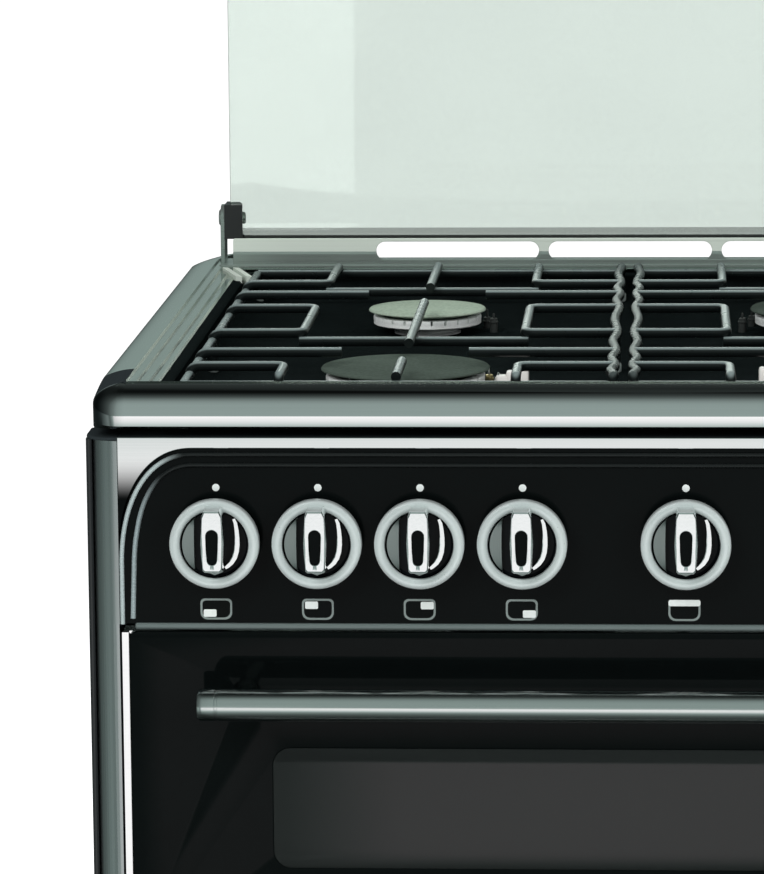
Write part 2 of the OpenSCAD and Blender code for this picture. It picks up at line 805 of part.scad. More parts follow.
// Cross-section of the front bar from front to back, as [y, z]
module front_section() {
    polygon(concat([[hob_y0 + 1.5, rim_z0], [hob_y0, rim_z0 + 3]],
        arc([crest_y, rim_top - rim_r], rim_r, 180, 90),
        [[crest_y + 3, rim_top], [well_y0, rim_top - 5], [well_y0, rim_z0]]));
}
module hob_surround() {
    inner_y = well_y1 - 12;
    deck_half = lid_pin_x + ear_t + ear_gap;
    color(steel) {
        difference() {
            intersection() {
                translate([0, 0, rim_z0]) linear_extrude(rim_h) hob_plan();
                union() {
                    upright(well_y0 - 3, hob_y1 - well_y0 + 3) rail_section();
                    intersection() {
                        translate([-hob_half, 0, 0]) rotate([90, 0, 90]) linear_extrude(2 * hob_half)
                            front_section();
                        upright(hob_y0 - 1, well_y0 - hob_y0 + 2) side_rounding();
                    }
                }
            }
            block([-well_w / 2, well_y0, rim_z0 - 1], [well_w / 2, well_y1, rim_top + 1]);
            block([-deck_half, inner_y, deck_z], [deck_half, hob_y1 + 1, rim_top + 1]);
            translate([0, 0, rim_z0 - 1]) linear_extrude(hob_under - rim_z0 + 1) intersection() {
                hob_plan();
                translate([-hob_half + skirt_t, hob_y0 + 6])
                    square([2 * (hob_half - skirt_t), hob_y1 - hob_y0 - 6 - skirt_t]);
            }
            for (i = [-2:2]) translate([i * 90 - 30, lid_axis_y - 9, rim_z0]) cube([60, 14, rim_h]);
        }
        both_sides() block([side_x - flange_w / 2 - rail_leg, crest_y + 30, fascia_top],
            [side_x - flange_w / 2, back_y - 20, hob_under + eps]);
    }
}
module hob_well() {
    h = well_w / 2 - gap_fit;
    y0 = well_y0 + gap_fit;
    y1 = well_y1 - gap_fit;
    color(enamel) difference() {
        union() {
            block([-h, y0, floor_z - sheet], [h, y1, hob_under]);
            block([-h - well_flange, y0 - well_flange, hob_under - sheet],
                [h + well_flange, y1 + well_flange, hob_under]);
        }
        block([-h + sheet, y0 + sheet, floor_z], [h - sheet, y1 - sheet, rim_top]);
        for (i = [0:3]) translate([burner_at[i][0], burner_at[i][1], floor_z - 5]) {
            cylinder(r = cup_r + gap_fit, h = 10);
            for (a = [0, probe_turn]) probe_place(i, a) cylinder(r = spark_r + gap_fit, h = 10);
        }
    }
}
// Beside a burner's crown, turned from the line that points to the middle of the hob
module probe_place(i, a) {
    inward = burner_at[i][0] < 0 ? 0 : 180;
    turn = burner_at[i][0] < 0 ? a : -a;
    rotate([0, 0, inward + turn]) translate([cap_rs[i] + probe_gap, 0, 0]) children();
}
module burner_heads() {
    color(zinc) for (i = [0:3]) {
        r = cap_rs[i] - 3;
        translate([burner_at[i][0], burner_at[i][1], head_z0]) difference() {
            union() {
                cylinder(r = cup_r + cup_lip - 1, h = 3);
                translate([0, 0, 2]) cylinder(r1 = cup_r + cup_lip - 1, r2 = r, h = 2);
                translate([0, 0, 4 - eps]) cylinder(r = r, h = crown_h - 4 + eps);
            }
            translate([0, 0, crown_h - 3]) cylinder(r = r - 6, h = 4);
            for (k = [0:ports - 1]) rotate([0, 0, k * 360 / ports + 180 / ports])
                translate([r - 8, -0.75, crown_h - 3]) cube([12, 1.5, 4]);
        }
    }
}
module burner_caps() {
    color(enamel) for (i = [0:3]) {
        r = cap_rs[i];
        translate([burner_at[i][0], burner_at[i][1], cap_z0]) rotate_extrude()
            polygon([[0, 0], [r - 1, 0], [r, 1], [r, cap_t - 2.5], [r - 2, cap_t - 0.8],
                [r - 8, cap_t], [0, cap_t]]);
    }
}
module injector_cups() {
    color(zinc) for (i = [0:3]) translate([burner_at[i][0], burner_at[i][1], cup_z0]) difference() {
        union() {
            cylinder(r = cup_r, h = cup_depth);
            translate([0, 0, cup_depth]) cylinder(r = cup_r + cup_lip, h = cup_lip_t);
        }
        translate([0, 0, 8]) cylinder(r = cup_r - 2, h = cup_depth);
    }
}
module probe(i, a, top, tip) {
    translate([burner_at[i][0], burner_at[i][1], floor_z - probe_down]) probe_place(i, a) {
        cylinder(r = spark_r, h = top + probe_down);
        translate([0, 0, top + probe_down - eps]) cylinder(r = spark_r / 3, h = tip);
        translate([0, 0, probe_down - sheet - probe_collar])
            cylinder(r = spark_r + probe_collar / 2, h = probe_collar);
    }
}
module spark_electrodes() {
    color("white") for (i = [0:3]) probe(i, 0, spark_up, spark_tip);
}
module flame_sensors() {
    color(brass) for (i = [0:3]) probe(i, probe_turn, sensor_up, sensor_tip);
}

// One half of the pan supports, on the right of the centreline
module support_half() {
    zt = support_top - rod_r;
    zl = zt - 1.7 * rod_r; // the crossing rods sink into each other a little where they are welded
    y0 = well_y0 + rod_end;
    y9 = well_y1 - rod_end;
    ya = burner_y0;
    yb = burner_y1;
    near = ya - 55;
    far = yb + 53;
    mid0 = ya + 80;
    mid1 = yb - 63;
    foot_z = floor_z;
    // Front-to-back rods of the frame
    rod([rod_centre, y0, zt], [rod_centre, y9, zt], rod_r);
    rod([rod_outer, y0, zl], [rod_outer, y9, zl], rod_r);
    for (x = [rod_in, rod_out]) {
        rod([x, y0, zt], [x, near, zt], rod_r, rod_r * 0.9);
        rod([x, mid0, zt], [x, mid1, zt], rod_r, rod_r * 0.9);
        rod([x, far, zt], [x, y9, zt], rod_r, rod_r * 0.9);
    }
    // Cross rods beside the burners
    for (y = [near, mid0, mid1, far]) {
        rod([rod_centre, y, zt], [rod_in, y, zt], rod_r);
        rod([rod_out, y, zt], [rod_outer, y, zt], rod_r, rod_r);
    }
    // Lower rods that tie the frame together
    for (y = [mid0, far]) rod([rod_in, y, zl], [rod_out, y, zl], rod_r, rod_r);
    for (y = [y0, y9]) rod([rod_centre, y, zl], [rod_outer, y, zl], rod_r, rod_r);
    // Fingers that reach over the burners
    for (y = [ya, yb]) {
        rod([rod_centre, y, zt], [burner_x - finger_gap, y, zt], rod_r);
        rod([burner_x + finger_gap, y, zt], [rod_outer, y, zt], rod_r, rod_r);
    }
    rod([burner_x, y0, zt], [burner_x, ya - finger_gap, zt], rod_r, rod_r);
    rod([burner_x, ya + finger_gap, zt], [burner_x, mid0, zt], rod_r, rod_r);
    rod([burner_x, mid0, zt], [burner_x, yb - finger_gap, zt], rod_r);
    rod([burner_x, yb + finger_gap, zt], [burner_x, y9, zt], rod_r, rod_r);
    // Feet
    for (y = [y0, mid0, y9]) {
        rod([rod_centre, y, foot_z], [rod_centre, y, zt], rod_r);
        rod([rod_outer, y, foot_z], [rod_outer, y, zl], rod_r);
    }
}
module pan_support_left() {
    color(dark) mirror([1, 0, 0]) support_half();
}
module pan_support_right() {
    color(dark) support_half();
}

// Rear trim with its slots and the lid's pivots
module rear_vent_trim() {
    pitch = slot_l + slot_post;
    y0 = well_y1 + 2;
    color(steel) {
        upright(y0, trim_t) difference() {
            translate([-trim_half, deck_z]) square([2 * trim_half, trim_h]);
            for (i = [0:slots - 1]) translate([(i - (slots - 1) / 2) * pitch, trim_top - slot_h / 2 - slot_edge]) {
                square([slot_l - slot_h, slot_h], center = true);
                for (s = [-1, 1]) translate([s * (slot_l - slot_h) / 2, 0]) circle(slot_h / 2);
            }
        }
        difference() {
            block([-lid_pin_x - ear_t, y0, deck_z], [lid_pin_x + ear_t, y0 + trim_foot, deck_z + trim_t]);
            for (i = [-2:2]) translate([i * 90 - 30, lid_axis_y - 9, deck_z - 1]) cube([60, 14, trim_t + 2]);
        }
        both_sides() {
            block([lid_pin_x, lid_axis_y - 9, deck_z], [lid_pin_x + ear_t, lid_axis_y + 9, lid_axis_z + 8]);
            translate([lid_pin_x - lid_arm_w - 3, lid_axis_y, lid_axis_z]) rotate([0, 90, 0])
                cylinder(r = lid_pin_r, h = lid_arm_w + 3 + eps);
        }
    }
}
module lid_glass() {
    color(glass) block([-lid_w / 2, lid_y0, lid_z0], [lid_w / 2, lid_y0 + lid_t, lid_z0 + lid_l]);
}
module lid_hinge_blocks() {
    x1 = lid_pin_x - gap_fit;
    x0 = x1 - lid_arm_w;
    z1 = lid_axis_z + lid_pin_r + 6;
    color(dark) both_sides() difference() {
        block([x0, lid_y0 - 3, lid_z0 - 1.2], [x1, lid_axis_y + lid_pin_r + 3, z1]);
        block([x0 - 1, lid_y0, lid_z0], [lid_w / 2, lid_y0 + lid_t, z1 + 1]);
        translate([x0 - 1, lid_axis_y, lid_axis_z]) rotate([0, 90, 0])
            cylinder(r = lid_pin_r + run_fit, h = lid_arm_w + 2);
    }
}

// Gas supply
module gas_rail() {
    w = gas_rail_w / 2;
    y0 = tap_y1;
    y1 = y0 + gas_rail_w;
    x1 = side_x - 30;
    color(zinc) {
        block([-x1, y0, knob_z - w], [x1, y1, knob_z + w]);
        both_sides() block([x1 - eps, y0, knob_z - w - 6], [side_x, y0 + 3, knob_z + w + 6]);
        translate([inlet_x, y1 - eps, knob_z]) rotate([-90, 0, 0]) cylinder(r = supply_r, h = rear_y - inlet_l - y1);
        translate([inlet_x, rear_y, knob_z]) rotate([90, 0, 0]) difference() {
            cylinder(r = inlet_outer_r, h = inlet_l + 5);
            translate([0, 0, -1]) cylinder(r = inlet_r, h = inlet_l + 1);
        }
    }
}
module gas_taps() {
    depth = tap_l * 2 / 3;
    color(brass) for (x = knob_x) difference() {
        union() {
            block([x - tap_w / 2, tap_y0 + 6, knob_z - tap_h / 2], [x + tap_w / 2, tap_y1, knob_z + tap_h / 2]);
            translate([x, tap_y0, knob_z]) rotate([-90, 0, 0]) cylinder(r = spindle_r + 4, h = 7);
        }
        translate([x, tap_y0 - 1, knob_z]) rotate([-90, 0, 0])
            cylinder(r = spindle_r + run_fit, h = depth + 1.5);
    }
}
module feed_pipes() {
    z0 = knob_z + tap_h / 2;
    grill_y = top_back_y + 22;
    oven_y = main_back_y + 22;
    oven_x = knob_end;
    color(zinc) {
        for (i = [0:3]) {
            z = i == 0 ? high_z : low_z;
            path([[knob_x[i], pipe_y, z0], [knob_x[i], pipe_y, z], [knob_x[i], burner_at[i][1], z],
                [burner_at[i][0], burner_at[i][1], z], [burner_at[i][0], burner_at[i][1], cup_z0]], pipe_r);
        }
        path([[knob_x[4], pipe_y, z0], [knob_x[4], pipe_y, high_z], [knob_x[4], grill_y, high_z],
            [knob_x[4], grill_y, grill_z], [knob_x[4], top_back_y, grill_z]], pipe_r);
        path([[oven_x, pipe_y, z0], [oven_x, pipe_y, low_z], [oven_x, oven_y, low_z],
            [oven_x, oven_y, oven_burner_z], [oven_burner_l / 3, oven_y, oven_burner_z],
            [oven_burner_l / 3, main_back_y, oven_burner_z]], pipe_r);
    }
}

// Ovens
module oven(z0, h, d, f0, f1) {
    w = oven_w / 2;
    difference() {
        union() {
            block([-w - sheet, bulk_y, z0 - sheet], [w + sheet, bulk_y + d + sheet, z0 + h + sheet]);
            block([-side_x, bulk_y, f0], [side_x, bulk_y + sheet, f1]);
        }
        block([-w, bulk_y - 1, z0], [w, bulk_y + d, z0 + h]);
    }
}
duct_x = [-120, -10];
module flue_duct() {
    y0 = top_back_y;
    y1 = lid_axis_y + 8;
    z0 = top_oven_z0 + top_oven_h - 50;
    z1 = z0 + 30;
    difference() {
        union() {
            block([duct_x[0], y0 - eps, z0], [duct_x[1], y1, z1]);
            block([duct_x[0], y1 - 22, z0], [duct_x[1], y1, hob_under - 2]);
        }
        block([duct_x[0] + sheet, y0 - 1, z0 + sheet], [duct_x[1] - sheet, y1 - sheet, z1 - sheet]);
        block([duct_x[0] + sheet, y1 - 22 + sheet, z0 + sheet], [duct_x[1] - sheet, y1 - sheet, rim_top]);
    }
}
module top_oven_cavity() {
    color(enamel) {
        oven(top_oven_z0, top_oven_h, top_oven_d, top_z0 - half_gap, panel_z0);
        flue_duct();
    }
}
module main_oven_cavity() {
    color(enamel) oven(main_oven_z0, main_oven_h, main_oven_d, main_z0 - door_gap, top_z0 - half_gap);
}
grill_in = 60; // distance of the grill burner behind the oven's front
grill_z = top_oven_z0 + top_oven_h - grill_t / 2;
grill_y0 = bulk_y + grill_in;
module grill_burner() {
    z1 = top_oven_z0 + top_oven_h;
    color(steel) difference() {
        union() {
            block([-grill_w / 2, grill_y0, z1 - grill_t], [grill_w / 2, grill_y0 + grill_d, z1]);
            block([knob_x[4] - 10, grill_y0 + grill_d - eps, z1 - grill_t],
                [knob_x[4] + 10, bulk_y + top_oven_d, z1]);
        }
        for (i = [0:9]) translate([-grill_w / 2 + 15 + i * (grill_w - 34) / 9, grill_y0 + 15, z1 - grill_t - 1])
            cube([4, grill_d - 30, 4]);
    }
}
burner_up = 25; // height of the oven burner's centre over the oven's floor
burner_back = 30; // distance of its centre from the oven's back
arm_w = 12; // width of the arms that carry it
oven_burner_z = main_oven_z0 + burner_up;
oven_burner_y = bulk_y + main_oven_d - burner_back;
module oven_burner() {
    color(steel) difference() {
        union() {
            translate([-oven_burner_l / 2, oven_burner_y, oven_burner_z]) rotate([0, 90, 0])
                cylinder(r = oven_burner_r, h = oven_burner_l);
            for (x = [-1, 1])
                translate([x * oven_burner_l / 3 - arm_w / 2, oven_burner_y, oven_burner_z - arm_w / 2])
                    cube([arm_w, burner_back, arm_w]);
        }
        for (i = [0:19]) translate([-oven_burner_l / 2 + 10 + i * (oven_burner_l - 22) / 19,
            oven_burner_y - 2, oven_burner_z + oven_burner_r - 3]) cube([2, 4, 5]);
    }
}
module grill_pan() {
    z0 = top_runner_z + 2 * wire_r;
    y0 = shelf_y0 + 20;
    color(enamel) difference() {
        union() {
            block([-pan_w / 2, y0, z0], [pan_w / 2, y0 + pan_d, z0 + pan_h]);
            block([-pan_w / 2 - 6, y0 - 6, z0 + pan_h - 1.5], [pan_w / 2 + 6, y0 + pan_d + 6, z0 + pan_h]);
        }
        block([-pan_w / 2 + sheet, y0 + sheet, z0 + sheet],
            [pan_w / 2 - sheet, y0 + pan_d - sheet, z0 + pan_h + 1]);
    }
}
module shelf(z) {
    w = 2 * wire_r;
    x = shelf_half;
    pitch = 2 * x / (shelf_wires + 1);
    difference() {
        block([-x, shelf_y0, z], [x, shelf_y0 + shelf_d, z + w]);
        for (i = [0:shelf_wires]) translate([-x + i * pitch, 0, 0])
            block([i == 0 ? w : wire_r, shelf_y0 + w, z - 1],
                [pitch - (i == shelf_wires ? w : wire_r), shelf_y0 + shelf_d - w, z + w + 1]);
    }
}
module oven_shelves() {
    color(chrome) {
        for (z = [top_runner_z, main_runners[1], main_runners[3]]) shelf(z);
    }
}
// Side wires that carry the shelves: a lower wire under each shelf's edge
module runner_frame(zs, z0, z1) {
    w = oven_w / 2;
    ys = [shelf_y0 + 30, shelf_y0 + shelf_d - 30];
    for (y = ys) rod([w - wire_r, y, z0], [w - wire_r, y, z1], wire_r, 0, 8);
    for (z = zs) {
        rod([runner_x - 4, shelf_y0, z - wire_r], [runner_x - 4, shelf_y0 + shelf_d, z - wire_r], wire_r, 0, 8);
        for (y = ys) rod([runner_x - 4, y, z - wire_r], [w - wire_r, y, z - wire_r], wire_r * 0.8, 0, 8);
    }
}
module shelf_runners() {
    color(chrome) both_sides() {
        runner_frame([top_runner_z], top_oven_z0 + 6, top_runner_z + 40);
        runner_frame(main_runners, main_oven_z0 + 20, main_oven_z0 + main_oven_h - 20);
    }
}
module seal(z0, z1) {
    x = oven_w / 2 + 12;
    upright(bulk_y - seal_t, seal_t) difference() {
        translate([-x, z0 - 6]) square([2 * x, z1 - z0 + 12]);
        translate([-x + seal_w, z0 - 6 + seal_w]) square([2 * (x - seal_w), z1 - z0 + 12 - 2 * seal_w]);
    }
}
module door_seals() {
    color(dark) {
        seal(top_oven_z0 - 3, top_oven_z0 + top_oven_h + 3);
        seal(main_oven_z0 - 3, main_oven_z0 + main_oven_h + 3);
    }
}

// Doors
module door_hinges() {
    color(zinc) both_sides() for (z = [main_z0, top_z0]) {
        x0 = pillar_x + frame_t;
        block([x0, front_y + frame_t, z + 2], [x0 + 3, front_y + return_d, z + hinge_up + 18]);
        translate([door_half - knuckle_l + 2, hinge_y, z + hinge_up]) rotate([0, 90, 0])
            cylinder(r = pin_r, h = x0 + 3 - door_half + knuckle_l - 2);
    }
}
module door_panel(z0, h) {
    color(dark) difference() {
        block([-glass_half, door_y0, z0], [glass_half, liner_y0, z0 + h]);
        for (s = [-1, 1]) translate([s * post_span / 2, door_y0 - 1, z0 + h - handle_down])
            rotate([-90, 0, 0]) cylinder(r = stud_r + gap_fit, h = glass_t + 2);
    }
}
module door_liner(z0, h) {
    z1 = z0 + h;
    low = z0 + hinge_up + 2; // the deep part starts above the hinge axis
    hy = hinge_y + pin_r + 3;
    color(zinc) difference() {
        union() {
            difference() {
                block([-door_half, liner_y0, low], [door_half, liner_y1, z1]);
                block([-door_half + liner_t, liner_y0 - 1, low + liner_t],
                    [door_half - liner_t, liner_y1 - liner_t, z1 - liner_t]);
                block([-window_w / 2, liner_y1 - 4, z0 + window_margin],
                    [window_w / 2, liner_y1 + 1, z1 - window_margin]);
            }
            both_sides() {
                block([glass_half + gap_fit, door_y0, z0], [door_half, liner_y0 + 2, z1]);
                block([door_half - knuckle_l, liner_y0, z0], [door_half, hy, low + 6]);
                translate([post_span / 2, liner_y0, z1 - handle_down]) rotate([-90, 0, 0])
                    cylinder(r = stud_r + 4, h = liner_d - 1);
            }
        }
        both_sides() {
            translate([door_half - knuckle_l - 1, hinge_y, z0 + hinge_up]) rotate([0, 90, 0])
                cylinder(r = pin_r + run_fit, h = knuckle_l + 2);
            translate([post_span / 2, liner_y0 - 1, z1 - handle_down]) rotate([-90, 0, 0])
                cylinder(r = stud_r + run_fit, h = 13);
        }
    }
}
module inner_glass(z0, h) {
    color(glass) block([-window_w / 2 - 12, liner_y1 - liner_t - inner_glass_t, z0 + window_margin - 10],
        [window_w / 2 + 12, liner_y1 - liner_t, z0 + h - window_margin + 10]);
}
module door_handle(z0, h) {
    bar_y = front_y - handle_stand;
    color(chrome) translate([0, 0, z0 + h - handle_down]) {
        translate([-handle_l / 2, bar_y, 0]) rotate([0, 90, 0]) cylinder(r = handle_r, h = handle_l);
        for (s = [-1, 1]) translate([s * post_span / 2, bar_y, 0]) rotate([-90, 0, 0]) {
            cylinder(r = post_r, h = door_y0 - bar_y);
            cylinder(r = stud_r, h = liner_y0 + 10 - bar_y);
        }
    }
}
module top_door_panel() {
    door_panel(top_z0, top_door_h);
}
module top_door_liner() {
    door_liner(top_z0, top_door_h);
}
module top_door_glass() {
    inner_glass(top_z0, top_door_h);
}
module top_door_handle() {
    door_handle(top_z0, top_door_h);
}
module main_door_panel() {
    door_panel(main_z0, main_door_h);
}
module main_door_liner() {
    door_liner(main_z0, main_door_h);
}
module main_door_glass() {
    inner_glass(main_z0, main_door_h);
}
module main_door_handle() {
    door_handle(main_z0, main_door_h);
}

side_panel_left();
side_panel_right();
back_panel();
base_tray();
foot_front_left();
foot_front_right();
foot_rear_left();
foot_rear_right();
plinth();
front_frame();
control_panel();
clock_module();
ignition_button();
light_button();
hob_surround();
hob_well();
rear_vent_trim();
pan_support_left();
pan_support_right();
burner_heads();
burner_caps();
injector_cups();
spark_electrodes();
flame_sensors();
gas_rail();
gas_taps();
feed_pipes();
cable_gland();
screws();
spindle(0);  // spindle_1
spindle(1);  // spindle_2
spindle(2);  // spindle_3
spindle(3);  // spindle_4
spindle(4);  // spindle_5
spindle(5);  // spindle_6
knob(0);  // knob_1
knob(1);  // knob_2
knob(2);  // knob_3
knob(3);  // knob_4
knob(4);  // knob_5
knob(5);  // knob_6
top_oven_cavity();
main_oven_cavity();
grill_burner();
oven_burner();
grill_pan();
oven_shelves();
shelf_runners();
door_hinges();
door_seals();
top_door_panel();
top_door_liner();
top_door_glass();
top_door_handle();
main_door_panel();
main_door_liner();
main_door_glass();
main_door_handle();
lid_glass();
lid_hinge_blocks();
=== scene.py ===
"""Dresses a freestanding gas cooker: its steel, enamel, glass, knobs, burners and pan supports.

Lengths in the classes are millimetres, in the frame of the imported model: +X right, front towards -Y,
+Z up from the floor. Meshes are scaled to metres when a piece is made.
"""
import logging
import math
from dataclasses import dataclass, replace
from enum import Enum
from typing import Iterable, Sequence

import bmesh
import bpy
from mathutils import Matrix, Vector


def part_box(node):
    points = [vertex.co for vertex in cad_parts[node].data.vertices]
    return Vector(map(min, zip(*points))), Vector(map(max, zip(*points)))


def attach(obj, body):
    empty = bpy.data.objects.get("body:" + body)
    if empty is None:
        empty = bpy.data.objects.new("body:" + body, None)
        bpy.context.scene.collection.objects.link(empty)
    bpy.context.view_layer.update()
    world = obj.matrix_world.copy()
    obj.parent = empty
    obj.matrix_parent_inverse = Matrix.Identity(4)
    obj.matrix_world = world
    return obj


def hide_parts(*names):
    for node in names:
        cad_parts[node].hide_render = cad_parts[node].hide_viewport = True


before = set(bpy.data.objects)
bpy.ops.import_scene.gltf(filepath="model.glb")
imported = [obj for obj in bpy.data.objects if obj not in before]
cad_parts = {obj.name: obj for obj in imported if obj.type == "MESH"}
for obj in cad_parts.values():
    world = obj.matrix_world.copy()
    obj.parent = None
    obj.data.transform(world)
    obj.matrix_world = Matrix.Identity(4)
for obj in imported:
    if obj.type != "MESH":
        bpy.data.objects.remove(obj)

MM = 0.001
LOG = logging.getLogger("cooker")
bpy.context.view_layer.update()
CABINET = "cabinet"

# Share of the fine noise in what varies on a surface, and the stretch of the noise that is used
FINE_SHARE = 0.55
NOISE_SPAN = (0.3, 0.7)
# Rise of a rod's surface over which its painted top highlight takes over
PAINTED_TOP_LIGHT_SPAN = (0.45, 0.85)
# Specks in enamel: cells per metre and the share of a cell that a speck takes
SPECK_CYCLES = 260.0
SPECK_SHARE = 0.16
# Large flat faces of a rounded piece, in square millimetres
LARGE_AREA = 900.0
# A face over this area in square millimetres that lies this square to an axis is flat
SQUARE_AREA = 3.0
SQUARE_NORMAL = 0.99995

Flat = tuple[float, float]
Point = tuple[float, float, float]
Mesh = bpy.types.Mesh
Tree = bpy.types.NodeTree
Node = bpy.types.Node
Socket = bpy.types.NodeSocket
Value = float | tuple[float, ...] | Socket


class Side(Enum):
    """The two halves of the cooker, as the sign of X."""

    LEFT = -1
    RIGHT = 1


@dataclass(frozen=True)
class Extent:
    """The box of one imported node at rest, in millimetres."""

    x0: float
    y0: float
    z0: float
    x1: float
    y1: float
    z1: float

    @classmethod
    def of(cls, node: str) -> "Extent":
        """Reads a node's box from the frame.

        Args:
            node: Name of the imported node.

        Returns:
            Its lowest and highest corner.
        """
        low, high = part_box(node)
        return cls(*(low / MM), *(high / MM))

    @property
    def centre(self) -> Point:
        """Middle of the box."""
        return ((self.x0 + self.x1) / 2, (self.y0 + self.y1) / 2, (self.z0 + self.z1) / 2)


def arc(cx: float, cy: float, r: float, a0: float, a1: float, steps: int = 10) -> list[Flat]:
    """Points of an arc.

    Args:
        cx: Centre along the first axis.
        cy: Centre along the second axis.
        r: Radius.
        a0: First angle, in degrees.
        a1: Last angle.
        steps: Number of segments.

    Returns:
        The points, both ends included.
    """
    angles = [math.radians(a0 + (a1 - a0) * i / steps) for i in range(steps + 1)]
    return [(cx + r * math.cos(a), cy + r * math.sin(a)) for a in angles]


def circle(r: float, cx: float = 0.0, cy: float = 0.0, steps: int = 32) -> list[Flat]:
    """Points of a full circle, without a repeated end."""
    return arc(cx, cy, r, 0, 360, steps)[:-1]


def rounded(x0: float, y0: float, x1: float, y1: float, r: float, steps: int = 6) -> list[Flat]:
    """Outline of a rectangle with round corners, anticlockwise from its right lower corner."""
    corners = ((x1 - r, y0 + r, -90), (x1 - r, y1 - r, 0), (x0 + r, y1 - r, 90), (x0 + r, y0 + r, 180))
    return [p for cx, cy, a in corners for p in arc(cx, cy, r, a, a + 90, steps)]


def direction(degrees: float) -> Flat:
    """Cosine and sine of an angle in degrees."""
    return math.cos(math.radians(degrees)), math.sin(math.radians(degrees))


def blend(low: float, high: float, share: float) -> float:
    """Value at a share of the way from low to high."""
    return low + (high - low) * share


def lifted(outline: Iterable[Flat], z: float) -> list[Point]:
    """A flat outline at a height."""
    return [(x, y, z) for x, y in outline]


def placed(place: Matrix, rings: Iterable[Iterable[Point]]) -> list[list[Point]]:
    """Rings of points moved by a matrix."""
    return [[tuple(place @ Vector(p)) for p in ring] for ring in rings]


class Plane(Enum):
    """Where a flat outline lies: its own two axes and its thickness, as columns of a matrix."""

    FRONT = ((1, 0, 0), (0, 0, 1), (0, -1, 0))
    TOP = ((1, 0, 0), (0, 1, 0), (0, 0, 1))
    SIDE = ((0, 1, 0), (0, 0, 1), (1, 0, 0))

    def at(self, x: float = 0.0, y: float = 0.0, z: float = 0.0) -> Matrix:
        """Matrix that stands the outline on this plane at a place."""
        rows = Matrix(self.value).transposed()
        return Matrix.Translation((x, y, z)) @ rows.to_4x4()


